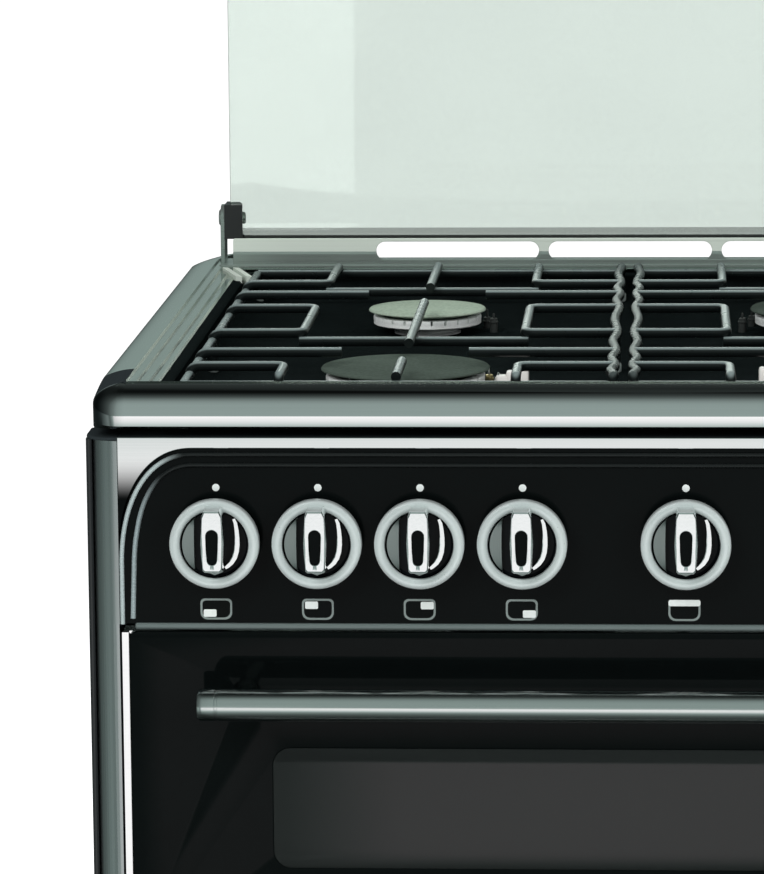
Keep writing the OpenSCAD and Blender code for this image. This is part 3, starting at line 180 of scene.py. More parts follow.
class Shape:
    """A mesh in millimetres that grows part by part."""

    def __init__(self) -> None:
        """Starts empty."""
        self.bm = bmesh.new()

    def loft(
        self,
        rings: Sequence[Sequence[Point]],
        closed: bool = True,
        loop: bool = False,
        caps: bool = True,
        slot: int = 0,
    ) -> "Shape":
        """Joins rings of points with faces.

        Args:
            rings: Rings with equal numbers of points.
            closed: Whether each ring joins its last point to its first.
            loop: Whether the last ring joins the first.
            caps: Whether closed rings are capped at both ends.
            slot: Material slot of the faces.

        Returns:
            This shape.
        """
        rows = [[self.bm.verts.new(p) for p in ring] for ring in rings]
        count = len(rows[0])
        follow = rows[1:] + ([rows[0]] if loop else [])
        made = []
        for a, b in zip(rows, follow):
            for i in range(count if closed else count - 1):
                j = (i + 1) % count
                made.append(self.bm.faces.new((a[i], a[j], b[j], b[i])))
        if closed and caps and not loop:
            made.append(self.bm.faces.new(list(reversed(rows[0]))))
            made.append(self.bm.faces.new(rows[-1]))
        for face in made:
            face.material_index = slot
        return self

    def lathe(self, profile: Sequence[Flat], place: Matrix, steps: int = 48, slot: int = 0) -> "Shape":
        """Turns a profile of (radius, height) about the place's own third axis."""
        turns = [2 * math.pi * i / steps for i in range(steps)]
        rings = [[(r * math.cos(a), r * math.sin(a), h) for a in turns] for r, h in profile]
        return self.loft(placed(place, rings), caps=False, slot=slot)

    def slab(
        self,
        outline: Sequence[Flat],
        thickness: float,
        place: Matrix,
        holes: Iterable[Sequence[Flat]] = (),
        bevel: float = 0.3,
        slot: int = 0,
    ) -> "Shape":
        """Adds a plate with holes and rounded edges.

        Args:
            outline: Outer edge.
            thickness: From the place's plane to the far face.
            place: Where the plate's lower face lies.
            holes: Edges of the holes.
            bevel: Rounding of all edges.
            slot: Material slot of the faces.

        Returns:
            This shape.
        """
        curve = bpy.data.curves.new("slab", "CURVE")
        curve.dimensions = "2D"
        curve.fill_mode = "BOTH"
        curve.extrude = thickness / 2 - bevel
        curve.bevel_depth = bevel
        curve.bevel_resolution = 1
        curve.offset = -bevel
        for edge in (outline, *holes):
            spline = curve.splines.new("POLY")
            spline.points.add(len(edge) - 1)
            for point, (x, y) in zip(spline.points, edge):
                point.co = (x, y, 0, 1)
            spline.use_cyclic_u = True
        holder = bpy.data.objects.new("slab", curve)
        mesh = holder.to_mesh()
        mesh.transform(place @ Matrix.Translation((0, 0, thickness / 2)))
        self.join(mesh, slot)
        holder.to_mesh_clear()
        bpy.data.objects.remove(holder)
        bpy.data.curves.remove(curve)
        return self

    def join(self, mesh: Mesh, slot: int = 0) -> "Shape":
        """Adds a mesh's faces under one material slot."""
        before = len(self.bm.faces)
        self.bm.from_mesh(mesh)
        self.bm.faces.ensure_lookup_table()
        for face in self.bm.faces[before:]:
            face.material_index = slot
        return self

    def add(self, part: bmesh.types.BMesh, slot: int = 0) -> "Shape":
        """Adds what is in another shape's mesh."""
        mesh = bpy.data.meshes.new("part")
        part.to_mesh(mesh)
        self.join(mesh, slot)
        bpy.data.meshes.remove(mesh)
        return self

    def box(self, low: Point, high: Point, bevel: float = 0.5, slot: int = 0) -> "Shape":
        """Adds a block with rounded edges between two corners."""
        centre = [(a + b) / 2 for a, b in zip(low, high)]
        size = [b - a for a, b in zip(low, high)]
        part = bmesh.new()
        place = Matrix.Translation(centre) @ Matrix.Diagonal((*size, 1))
        bmesh.ops.create_cube(part, size=1, matrix=place)
        if bevel:
            edges = list(part.edges)
            bmesh.ops.bevel(part, geom=edges, offset=bevel, segments=2, profile=0.5, affect="EDGES")
        self.add(part, slot)
        part.free()
        return self

    def mirrored(self) -> "Shape":
        """Adds a copy of everything on the other side of the centre plane."""
        copy = bmesh.ops.duplicate(self.bm, geom=list(self.bm.verts) + list(self.bm.faces))["geom"]
        verts = [item for item in copy if isinstance(item, bmesh.types.BMVert)]
        faces = [item for item in copy if isinstance(item, bmesh.types.BMFace)]
        for vert in verts:
            vert.co.x = -vert.co.x
        bmesh.ops.reverse_faces(self.bm, faces=faces)
        return self

    def thicken(self, thickness: float, up: Vector) -> "Shape":
        """Makes a closed sheet of an open one.

        Args:
            thickness: Distance of the new side from the given one.
            up: Direction that the given side faces on the whole.

        Returns:
            This shape.
        """
        bmesh.ops.recalc_face_normals(self.bm, faces=self.bm.faces)
        if sum(face.normal.dot(up) * face.calc_area() for face in self.bm.faces) < 0:
            bmesh.ops.reverse_faces(self.bm, faces=self.bm.faces)
        self.bm.normal_update()
        rim = [edge for edge in self.bm.edges if edge.is_boundary]
        verts = list(self.bm.verts)
        faces = list(self.bm.faces)
        inner = {vert: self.bm.verts.new(vert.co - vert.normal * thickness) for vert in verts}
        for face in faces:
            copy = self.bm.faces.new([inner[vert] for vert in reversed(face.verts)])
            copy.material_index = face.material_index
        for edge in rim:
            a, b = edge.verts
            side = self.bm.faces.new((a, b, inner[b], inner[a]))
            side.material_index = edge.link_faces[0].material_index
        return self

    def turned(self, place: Matrix) -> "Shape":
        """Moves everything by a matrix."""
        bmesh.ops.transform(self.bm, matrix=place, verts=self.bm.verts)
        return self

    def mesh(self, name: str, outwards: bool = True, sharp: float = 32.0, flat: float = 0.0) -> Mesh:
        """Finishes the mesh in metres.

        Args:
            name: Name of the mesh.
            outwards: Whether the normals are worked out anew.
            sharp: Edges over this angle in degrees stay sharp.
            flat: Faces over this area in square millimetres are flat, and smaller ones square to an axis.

        Returns:
            The mesh, with smooth faces.
        """
        bmesh.ops.remove_doubles(self.bm, verts=self.bm.verts, dist=0.002)
        bmesh.ops.dissolve_degenerate(self.bm, edges=self.bm.edges, dist=0.001)
        if outwards:
            bmesh.ops.recalc_face_normals(self.bm, faces=self.bm.faces)
        bmesh.ops.scale(self.bm, vec=(MM, MM, MM), verts=self.bm.verts)
        mesh = bpy.data.meshes.new(name)
        self.bm.to_mesh(mesh)
        self.bm.free()
        mesh.shade_smooth()
        mesh.set_sharp_from_angle(angle=math.radians(sharp))
        if flat:
            for face in mesh.polygons:
                area = face.area / MM**2
                square = max(abs(n) for n in face.normal) > SQUARE_NORMAL
                if area > flat or (area > SQUARE_AREA and square):
                    face.use_smooth = False
        return mesh


def new_object(name: str, data: bpy.types.ID) -> bpy.types.Object:
    """Makes an object of a mesh, a lamp or a camera and links it to the scene."""
    made = bpy.data.objects.new(name, data)
    bpy.context.scene.collection.objects.link(made)
    return made


def new_material(name: str) -> bpy.types.Material:
    """Makes a material of nodes."""
    made = bpy.data.materials.new(name)
    made.use_nodes = True
    return made


def fill(tree: Tree, node: Node, inputs: dict[str | int, Value]) -> Node:
    """Links or sets a node's inputs.

    Args:
        tree: Tree of the node.
        node: The node.
        inputs: A socket or a value for each input, by its name or number.

    Returns:
        The node.
    """
    for key, value in inputs.items():
        if isinstance(value, Socket):
            tree.links.new(value, node.inputs[key])
        else:
            node.inputs[key].default_value = value
    return node


def add_node(tree: Tree, kind: str, inputs: dict | None = None, **settings: str) -> Node:
    """Adds a node, gives it its own settings and fills its inputs."""
    node = tree.nodes.new(kind)
    for name, value in settings.items():
        setattr(node, name, value)
    return fill(tree, node, inputs or {})


def calculate(tree: Tree, operation: str, *values: Value) -> Socket:
    """Adds a calculation with numbers."""
    return add_node(tree, "ShaderNodeMath", dict(enumerate(values)), operation=operation).outputs[0]


def calculate_vector(tree: Tree, operation: str, *values: Value) -> Node:
    """Adds a calculation with vectors."""
    return add_node(tree, "ShaderNodeVectorMath", dict(enumerate(values)), operation=operation)


def map_range(tree: Tree, value: Socket, given: Flat, wanted: Flat = (0.0, 1.0), **settings: str) -> Socket:
    """Carries a value from one range over to another."""
    inputs = dict(zip(("Value", "From Min", "From Max", "To Min", "To Max"), (value, *given, *wanted)))
    return add_node(tree, "ShaderNodeMapRange", inputs, **settings).outputs[0]


def mix_colours(tree: Tree, share: Socket, first: Value, second: Value) -> Socket:
    """Mixes two colours by a share."""
    inputs = {"Factor": share, "A": first, "B": second}
    return add_node(tree, "ShaderNodeMix", inputs, data_type="RGBA").outputs["Result"]


@dataclass(frozen=True)
class Grain:
    """Fine structure of a surface: noise stretched by cycles per metre along X, Y and Z."""

    cycles: Point = (300.0, 300.0, 300.0)
    detail: float = 3.0
    bump: float = 0.02
    smudge: float = 9.0


ALONG_X = Grain((6.0, 900.0, 900.0), 2.0, 0.006, 5.0)
BUFFED = Grain((6.0, 900.0, 900.0), 2.0, 0.001, 5.0)
ALONG_Y = Grain((900.0, 6.0, 900.0), 2.0, 0.006, 5.0)
ALONG_Z = Grain((900.0, 900.0, 6.0), 2.0, 0.006, 5.0)
FINE = Grain((700.0, 700.0, 700.0), 3.0, 0.01, 12.0)
PEEL = Grain((140.0, 140.0, 140.0), 1.0, 0.012, 8.0)
CAST = Grain((900.0, 900.0, 900.0), 4.0, 0.06, 25.0)
SMOOTH = Grain(bump=0.0)
DRAWN = Grain((90.0, 90.0, 90.0), 2.0, 0.0)
FIRED = Grain((500.0, 500.0, 500.0), 3.0, 0.01, 20.0)
ROLLED = Grain((60.0, 60.0, 60.0), 4.0, 0.01)
WOVEN = Grain((500.0, 500.0, 500.0), 2.0, 0.3)


@dataclass(frozen=True)
class Fade:
    """A second colour that takes over between two distances in metres from the origin, along an axis:
    painted light or shade.
    """

    axis: str
    start: float
    end: float
    colour: Point


@dataclass(frozen=True)
class Finish:
    """A surface finish with its grain, colour variation and gloss.

    The roughness runs between two values, and the colour varies by a share of itself. A finish may have
    specks of a second colour, a painted highlight on what faces up, or a fade that paints light or shade.
    """

    name: str
    colour: Point
    rough: Flat = (0.3, 0.4)
    metallic: float = 0.0
    specular: float = 0.5
    mottle: float = 0.08
    grain: Grain = FINE
    transmission: float = 0.0
    speck: Point | None = None
    worn: Point | None = None
    fade: Fade | None = None

    def material(self) -> bpy.types.Material:
        """Makes the material, or returns the one already made."""
        made = bpy.data.materials.get(self.name)
        if made:
            return made
        made = new_material(self.name)
        tree = made.node_tree
        place = add_node(tree, "ShaderNodeTexCoord").outputs
        fine = self.noise(tree, place["Object"], self.grain.cycles, self.grain.detail)
        broad = self.noise(tree, place["Object"], (self.grain.smudge,) * 3, 2.0)
        rest = calculate(tree, "MULTIPLY", broad, 1 - FINE_SHARE)
        varied = calculate(tree, "MULTIPLY_ADD", fine, FINE_SHARE, rest)
        inputs = {
            "Base Color": self.tint(tree, place, varied),
            "Metallic": self.metallic,
            "Roughness": map_range(tree, varied, NOISE_SPAN, self.rough),
            "Specular IOR Level": self.specular,
            "Transmission Weight": self.transmission,
        }
        if self.grain.bump:
            bump = {"Strength": 1.0, "Distance": self.grain.bump * MM, "Height": fine}
            inputs["Normal"] = add_node(tree, "ShaderNodeBump", bump).outputs[0]
        fill(tree, tree.nodes["Principled BSDF"], inputs)
        return made

    @staticmethod
    def noise(tree: Tree, place: Socket, cycles: Point, detail: float) -> Socket:
        """Noise on object coordinates, with its own count of cycles per metre on each axis."""
        stretched = add_node(tree, "ShaderNodeMapping", {"Vector": place, "Scale": cycles}).outputs[0]
        inputs = {"Vector": stretched, "Scale": 1.0, "Detail": detail}
        return add_node(tree, "ShaderNodeTexNoise", inputs).outputs["Fac"]

    def tint(self, tree: Tree, place: bpy.types.NodeOutputs, value: Socket) -> Socket:
        """Colour that varies with the noise, mixed with the second colour where the finish has one."""
        ramp = add_node(tree, "ShaderNodeValToRGB", {0: value})
        shares = (1 - self.mottle, 1 + self.mottle)
        for stop, position, share in zip(ramp.color_ramp.elements, NOISE_SPAN, shares):
            stop.position = position
            stop.color = (*(min(c * share, 1) for c in self.colour), 1)
        # Painted highlight: surfaces that face up take a lighter colour.
        if self.worn is not None:
            up = add_node(tree, "ShaderNodeSeparateXYZ", {0: place["Normal"]}).outputs["Z"]
            share = map_range(tree, up, PAINTED_TOP_LIGHT_SPAN, interpolation_type="SMOOTHSTEP")
            second = self.worn
        # Painted light or shade that takes over along an axis.
        elif self.fade is not None:
            parts = add_node(tree, "ShaderNodeSeparateXYZ", {0: place["Object"]}).outputs
            reach = calculate(tree, "ABSOLUTE", parts[self.fade.axis])
            limits = (self.fade.start, self.fade.end)
            share = map_range(tree, reach, limits, interpolation_type="SMOOTHSTEP")
            second = self.fade.colour
        elif self.speck is not None:
            inputs = {"Vector": place["Object"], "Scale": SPECK_CYCLES}
            cells = add_node(tree, "ShaderNodeTexVoronoi", inputs)
            share = calculate(tree, "LESS_THAN", cells.outputs["Distance"], SPECK_SHARE)
            second = self.speck
        else:
            return ramp.outputs[0]
        return mix_colours(tree, share, ramp.outputs[0], (*second, 1))


# Roughness of surfaces, from the lowest to the highest value on one
CLEAR_GLOSS = (0.01, 0.04)
MIRROR = (0.04, 0.08)
GLOSS = (0.10, 0.16)
SATIN = (0.2, 0.3)
DULL = (0.24, 0.34)
MATT = (0.3, 0.4)

BRIGHT = (0.95, 0.95, 0.95)
BLACK = (0.002, 0.003, 0.003)
ROD_BLACK = (0.005, 0.007, 0.007)
SHADE = (0.008, 0.010, 0.010)


class Coat:
    """The finishes of the cooker, each made once."""

    POLISHED = Finish("polished_steel", BRIGHT, MIRROR, 1.0, grain=BUFFED, mottle=0.02)
    BRUSHED = Finish("brushed_steel_along", (0.58, 0.64, 0.59), GLOSS, 1.0, grain=ALONG_Y, mottle=0.12)
    PILLAR = Finish("pillar_steel", (0.50, 0.53, 0.53), (0.24, 0.32), 1.0, grain=ALONG_Z, mottle=0.05)
    # The polished plate darkens towards its foot by the arch: painted shade.
    PLATE = Finish(
        "plate_steel", BRIGHT, MIRROR, 1.0, grain=BUFFED, mottle=0.02,
        fade=Fade("Z", 0.857, 0.832, (0.004, 0.005, 0.005)),
    )
    RAIL = Finish("rail_steel", (0.60, 0.67, 0.62), GLOSS, 1.0, grain=ALONG_Y)
    # Painted shade: the front bar's outer corners are dark steel, turning bright towards the middle.
    CORNER = Finish(
        "corner_steel", (0.04, 0.05, 0.055), (0.06, 0.10), 1.0, grain=SMOOTH, mottle=0.1,
        fade=Fade("X", 0.293, 0.2755, BRIGHT),
    )
    # Painted shade: dark steel for the pillars' caps, the ledge behind the plate and the rails' crowns near
    # the front.
    SHOULDER = Finish("shoulder_steel", (0.022, 0.028, 0.030), SATIN, specular=0.0, mottle=0.1)
    # Painted highlight: a pale, mostly matt copy of the steel for the trim's top hem and the well's rear
    # brackets.
    HEM = Finish("satin_hem", (0.70, 0.78, 0.70), MATT, 0.2, grain=ALONG_X, mottle=0.04)
    TRIM = Finish("trim_steel", (0.50, 0.57, 0.53), DULL, 0.8, grain=ALONG_X, mottle=0.05)
    PANEL = Finish("panel_black", BLACK, GLOSS, specular=0.06, grain=PEEL)
    # Painted highlight on the rolled lip, which fades to painted shade over the top of the arch.
    LIP = Finish(
        "lip_satin", (0.44, 0.52, 0.52), SATIN, 0.3, mottle=0.06,
        fade=Fade("X", 0.262, 0.244, SHADE),
    )
    # Painted highlight on the panel's bead, which fades to painted shade over the top of the arch.
    BEAD = replace(LIP, name="bead_satin", colour=(0.32, 0.39, 0.40), fade=Fade("X", 0.274, 0.256, SHADE))
    # Painted highlight: the grey strip along the panel's foot shows its ledge as lit from above.
    STRIP = Finish("strip_satin", (0.17, 0.21, 0.205), MATT, 0.5, grain=ALONG_X, mottle=0.06)
    PRINT = Finish("white_print", (0.70, 0.75, 0.73), (0.5, 0.6), mottle=0.04)
    PRINT_GREY = replace(PRINT, name="grey_print", colour=(0.20, 0.24, 0.23))
    KNOB_RING = Finish("knob_ring_satin", (0.66, 0.73, 0.72), (0.26, 0.36), 0.45, mottle=0.04)
    KNOB_DISH = Finish("knob_dish_dark", (0.004, 0.005, 0.006), GLOSS, specular=0.08)
    KNOB_SHELF = Finish("knob_shelf_satin", (0.30, 0.34, 0.33), MATT, 0.8, grain=ALONG_Z, mottle=0.05)
    KNOB_GRIP = Finish("knob_grip_chrome", (0.90, 0.92, 0.92), (0.06, 0.12), 1.0, mottle=0.03)
    INSET = Finish("inset_black", (0.003, 0.004, 0.004), SATIN, specular=0.03)
    ENAMEL = Finish(
        "well_enamel", (0.007, 0.010, 0.010), (0.22, 0.34), specular=0.0, grain=SMOOTH, mottle=0.2
    )
    SIDE_ENAMEL = Finish("side_enamel", (0.014, 0.016, 0.017), (0.16, 0.26), specular=0.4, grain=PEEL)
    OVEN_ENAMEL = Finish(
        "oven_enamel", (0.035, 0.036, 0.042), (0.12, 0.22), grain=PEEL, speck=(0.16, 0.17, 0.2)
    )
    # The rods' tops carry a painted highlight.
    ROD = Finish(
        "support_rod", ROD_BLACK, DULL, specular=0.35, grain=DRAWN, mottle=0.2, worn=(0.17, 0.215, 0.21)
    )
    # The spine rods: a darker copy of the rods, painted shade with a dimmer painted top highlight.
    ROD_DULL = replace(ROD, name="support_rod_dull", specular=0.1, worn=(0.05, 0.064, 0.062))
    ROD_TIP = Finish("support_foot", (0.36, 0.42, 0.40), MATT, 0.3)
    CROWN = Finish("burner_crown", (0.84, 0.88, 0.86), (0.32, 0.44), 0.1, grain=CAST)
    CAP_DARK = Finish(
        "burner_cap", (0.065, 0.086, 0.072), (0.30, 0.42), specular=0.0, grain=FIRED, mottle=0.25
    )
    # Painted highlight: a lighter copy of the cap enamel for the rear left cap.
    CAP_PAINTED_LIGHT = replace(CAP_DARK, name="burner_cap_worn", colour=(0.33, 0.41, 0.33))
    CERAMIC = Finish("ceramic", (0.58, 0.64, 0.62), (0.15, 0.25), mottle=0.05)
    # Dark finish for the rear burners' electrodes and probes.
    SOOTED = Finish(
        "ceramic_sooted", (0.035, 0.04, 0.038), (0.3, 0.45), specular=0.1, mottle=0.3
    )
    BRASS = Finish("brass", (0.72, 0.56, 0.26), (0.2, 0.34), 1.0)
    ZINC = Finish("zinc_sheet", (0.52, 0.54, 0.53), (0.3, 0.45), 0.7, grain=ROLLED, mottle=0.14)
    WIRE = Finish("bright_wire", (0.72, 0.74, 0.73), (0.12, 0.24), 1.0)
    BURNER_STEEL = Finish("burner_steel", (0.42, 0.42, 0.41), (0.3, 0.46), 0.9, mottle=0.2)
    HANDLE = Finish("handle_steel", (0.80, 0.82, 0.81), (0.14, 0.24), 1.0, grain=ALONG_X, mottle=0.04)
    DOOR_GLASS = Finish("door_glass_black", BLACK, (0.03, 0.07), specular=0.08, grain=PEEL)
    WINDOW = Finish(
        "door_window", (0.03, 0.034, 0.033), (0.02, 0.05), specular=0.1, transmission=0.85, grain=SMOOTH,
        mottle=0.04,
    )
    CLEAR = Finish(
        "clear_glass", (0.86, 0.90, 0.88), CLEAR_GLOSS, transmission=1.0, grain=SMOOTH, mottle=0.02
    )
    LID = replace(CLEAR, name="lid_glass", colour=(0.66, 0.74, 0.69), transmission=0.92, mottle=0.03)
    LID_EDGE = Finish("lid_edge_print", (0.02, 0.022, 0.02), SATIN)
    RUBBER = Finish("foot_rubber", (0.03, 0.03, 0.03), (0.6, 0.75), grain=CAST, specular=0.3)
    NYLON = Finish("nylon_black", (0.022, 0.024, 0.024), (0.4, 0.52), grain=CAST, specular=0.4)
    CORD = Finish("seal_cord", (0.11, 0.11, 0.10), (0.75, 0.9), grain=WOVEN, mottle=0.35)
    DISPLAY = Finish("clock_window", (0.01, 0.014, 0.012), (0.03, 0.08), specular=0.3, grain=PEEL)
    DIGIT = Finish("clock_digits", (0.10, 0.62, 0.36), MATT, mottle=0.05)


@dataclass(frozen=True)
class Piece:
    """A shown piece: what it is called, what carries it and which nodes it stands for."""

    name: str
    body: str
    slot: str
    replaces: tuple[str, ...] = ()

    @classmethod
    def of(cls, node: str, slot: str, body: str = CABINET) -> "Piece":
        """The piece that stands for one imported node."""
        return cls(f"{node}_dressed", body, slot, (node,))

    def show(self, mesh: Mesh, *finishes: Finish) -> bpy.types.Object:
        """Puts the mesh in the scene, dresses it and lets it ride on its body.

        Args:
            mesh: Finished mesh in metres.
            *finishes: One finish for each material slot of the mesh.

        Returns:
            The new object.
        """
        for i, finish in enumerate(finishes):
            if i < len(mesh.materials):
                mesh.materials[i] = finish.material()
            else:
                mesh.materials.append(finish.material())
        piece = new_object(self.name, mesh)
        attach(piece, self.body)
        if self.replaces:
            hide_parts(*self.replaces)
        LOG.info("%s: %d faces on %s", self.name, len(mesh.polygons), self.body)
        return piece


def air_slots(y0: float, y1: float) -> list[list[Flat]]:
    """Five air slots side by side between two depths."""
    return [rounded(i * 90 - 30, y0, i * 90 + 30, y1, 4.0, 4) for i in range(-2, 3)]


def dress(finish: Finish, *nodes: str) -> None:
    """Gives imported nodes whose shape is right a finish.

    Args:
        finish: The finish.
        *nodes: Names of the nodes.
    """
    for name in nodes:
        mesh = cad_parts[name].data
        mesh.materials.clear()
        mesh.materials.append(finish.material())
        LOG.info("%s: finish %s", name, finish.name)


class NodeTree:
    """A tree of geometry nodes with named inputs, run on a mesh and baked."""

    def __init__(self, name: str) -> None:
        """Starts a tree with a geometry input and output.

        Args:
            name: Name of the tree.
        """
        self.tree = bpy.data.node_groups.new(name, "GeometryNodeTree")
        self.tree.is_modifier = True
        face = self.tree.interface
        face.new_socket("Geometry", in_out="INPUT", socket_type="NodeSocketGeometry")
        face.new_socket("Geometry", in_out="OUTPUT", socket_type="NodeSocketGeometry")
        self.sockets: dict[str, str] = {}
        self.source = self.tree.nodes.new("NodeGroupInput")
        self.sink = self.tree.nodes.new("NodeGroupOutput")

    def input(self, name: str, kind: str, value: float | int | None = None) -> None:
        """Adds a named input."""
        socket = self.tree.interface.new_socket(name, in_out="INPUT", socket_type=kind)
        if value is not None:
            socket.default_value = value
        self.sockets[name] = socket.identifier

    def node(self, kind: str, **links: Value) -> Node:
        """Adds a node and links or sets its inputs by name, with underscores for spaces."""
        inputs = {name.replace("_", " "): value for name, value in links.items()}
        return add_node(self.tree, kind, inputs)

    def copies(self, points: Socket, shape: Socket, **turn: Socket) -> None:
        """Ends the tree in copies of a shape on points, each turned about the axis named by its angle."""
        angle = self.node("ShaderNodeCombineXYZ", **turn)
        spin = self.node("FunctionNodeEulerToRotation", Euler=angle.outputs[0]).outputs[0]
        copies = self.node("GeometryNodeInstanceOnPoints", Points=points, Instance=shape, Rotation=spin)
        self.finish(copies.outputs[0])

    def finish(self, geometry: Socket) -> None:
        """Ends the tree in Realize Instances and Set Material."""
        real = self.node("GeometryNodeRealizeInstances", Geometry=geometry)
        dressed = self.node(
            "GeometryNodeSetMaterial", Geometry=real.outputs[0], Material=self.source.outputs["Material"]
        )
        fill(self.tree, self.sink, {0: dressed.outputs[0]})

    def bake(self, mesh: Mesh, finish: Finish, **values: float | bpy.types.Object) -> Mesh:
        """Runs the tree on a mesh.

        Args:
            mesh: Input of the tree, in metres.
            finish: Finish that the tree sets.
            **values: Inputs by name, with underscores for spaces.

        Returns:
            The result as a plain mesh.
        """
        holder = new_object("holder", mesh)
        modifier = holder.modifiers.new("nodes", "NODES")
        modifier.node_group = self.tree
        modifier[self.sockets["Material"]] = finish.material()
        for name, value in values.items():
            modifier[self.sockets[name.replace("_", " ")]] = value
        graph = bpy.context.evaluated_depsgraph_get()
        result = bpy.data.meshes.new_from_object(holder.evaluated_get(graph), depsgraph=graph)
        holder.modifiers.remove(modifier)
        bpy.data.objects.remove(holder)
        return result


class Rods(NodeTree):
    """Round rods that follow the edges of a mesh, with bent corners."""

    def __init__(self) -> None:
        """Builds the tree."""
        super().__init__("rods")
        self.input("Rod radius", "NodeSocketFloat", 0.003)
        self.input("Bend radius", "NodeSocketFloat", 0.006)
        self.input("Bend steps", "NodeSocketInt", 5)
        self.input("Sides", "NodeSocketInt", 16)
        self.input("Material", "NodeSocketMaterial")
        given = self.source.outputs
        line = self.node("GeometryNodeMeshToCurve", Mesh=given["Geometry"])
        bend = self.node("GeometryNodeFilletCurve", Curve=line.outputs[0])
        bend.inputs["Limit Radius"].default_value = True
        bend.mode = "POLY"
        fill(self.tree, bend, {"Radius": given["Bend radius"], "Count": given["Bend steps"]})
        ring = self.node(
            "GeometryNodeCurvePrimitiveCircle", Resolution=given["Sides"], Radius=given["Rod radius"]
        )
        tube = self.node("GeometryNodeCurveToMesh", Curve=bend.outputs[0], Profile_Curve=ring.outputs[0])
        tube.inputs["Fill Caps"].default_value = True
        smooth = self.node("GeometryNodeSetShadeSmooth", Geometry=tube.outputs[0])
        self.finish(smooth.outputs[0])

    def run(
        self,
        paths: Sequence[Sequence[Point]],
        radius: float,
        finish: Finish,
        bend: float = 6.0,
        sides: int = 16,
    ) -> Mesh:
        """Makes rods.

        Args:
            paths: Corner points of each rod in millimetres.
            radius: Radius of the rods in millimetres.
            finish: Finish of the rods.
            bend: Radius of the bends at the corners.
            sides: Number of sides.

        Returns:
            The rods as one mesh in metres.
        """
        mesh = bpy.data.meshes.new("paths")
        points = [Vector(p) * MM for path in paths for p in path]
        edges, start = [], 0
        for path in paths:
            edges += [(start + i, start + i + 1) for i in range(len(path) - 1)]
            start += len(path)
        mesh.from_pydata(points, edges, [])
        sizes = {"Rod_radius": radius * MM, "Bend_radius": bend * MM, "Bend_steps": 5, "Sides": sides}
        return self.bake(mesh, finish, **sizes)


class Ring(NodeTree):
    """Copies of a mesh turned about the vertical axis of its origin."""

    def __init__(self) -> None:
        """Builds the tree."""
        super().__init__("ring_of_copies")
        self.input("Count", "NodeSocketInt", 24)
        self.input("Material", "NodeSocketMaterial")
        given = self.source.outputs
        points = self.node("GeometryNodePoints", Count=given["Count"])
        index = self.node("GeometryNodeInputIndex")
        share = calculate(self.tree, "DIVIDE", index.outputs[0], given["Count"])
        turn = calculate(self.tree, "MULTIPLY", share, 2 * math.pi)
        self.copies(points.outputs[0], given["Geometry"], Z=turn)


class Scatter(NodeTree):
    """A copy of a shape at each point of a mesh, each turned by a seeded random angle about Y."""

    def __init__(self) -> None:
        """Builds the tree."""
        super().__init__("copies_on_points")
        self.input("Shape", "NodeSocketObject")
        self.input("Turn", "NodeSocketFloat", 0.0)
        self.input("Seed", "NodeSocketInt", 7)
        self.input("Material", "NodeSocketMaterial")
        given = self.source.outputs
        shape = self.node("GeometryNodeObjectInfo", Object=given["Shape"])
        chance = self.node("FunctionNodeRandomValue", Seed=given["Seed"], Max=given["Turn"])
        self.copies(given["Geometry"], shape.outputs["Geometry"], Y=chance.outputs[1])

    def run(
        self, shape: Mesh, points: Sequence[Point], finish: Finish, turn: float = 0.0
    ) -> Mesh:
        """Copies a shape to points given in millimetres."""
        mesh = bpy.data.meshes.new("points")
        mesh.from_pydata([Vector(p) * MM for p in points], [], [])
        model = new_object("model", shape)
        result = self.bake(mesh, finish, Shape=model, Turn=turn, Seed=7)
        bpy.data.objects.remove(model)
        return result


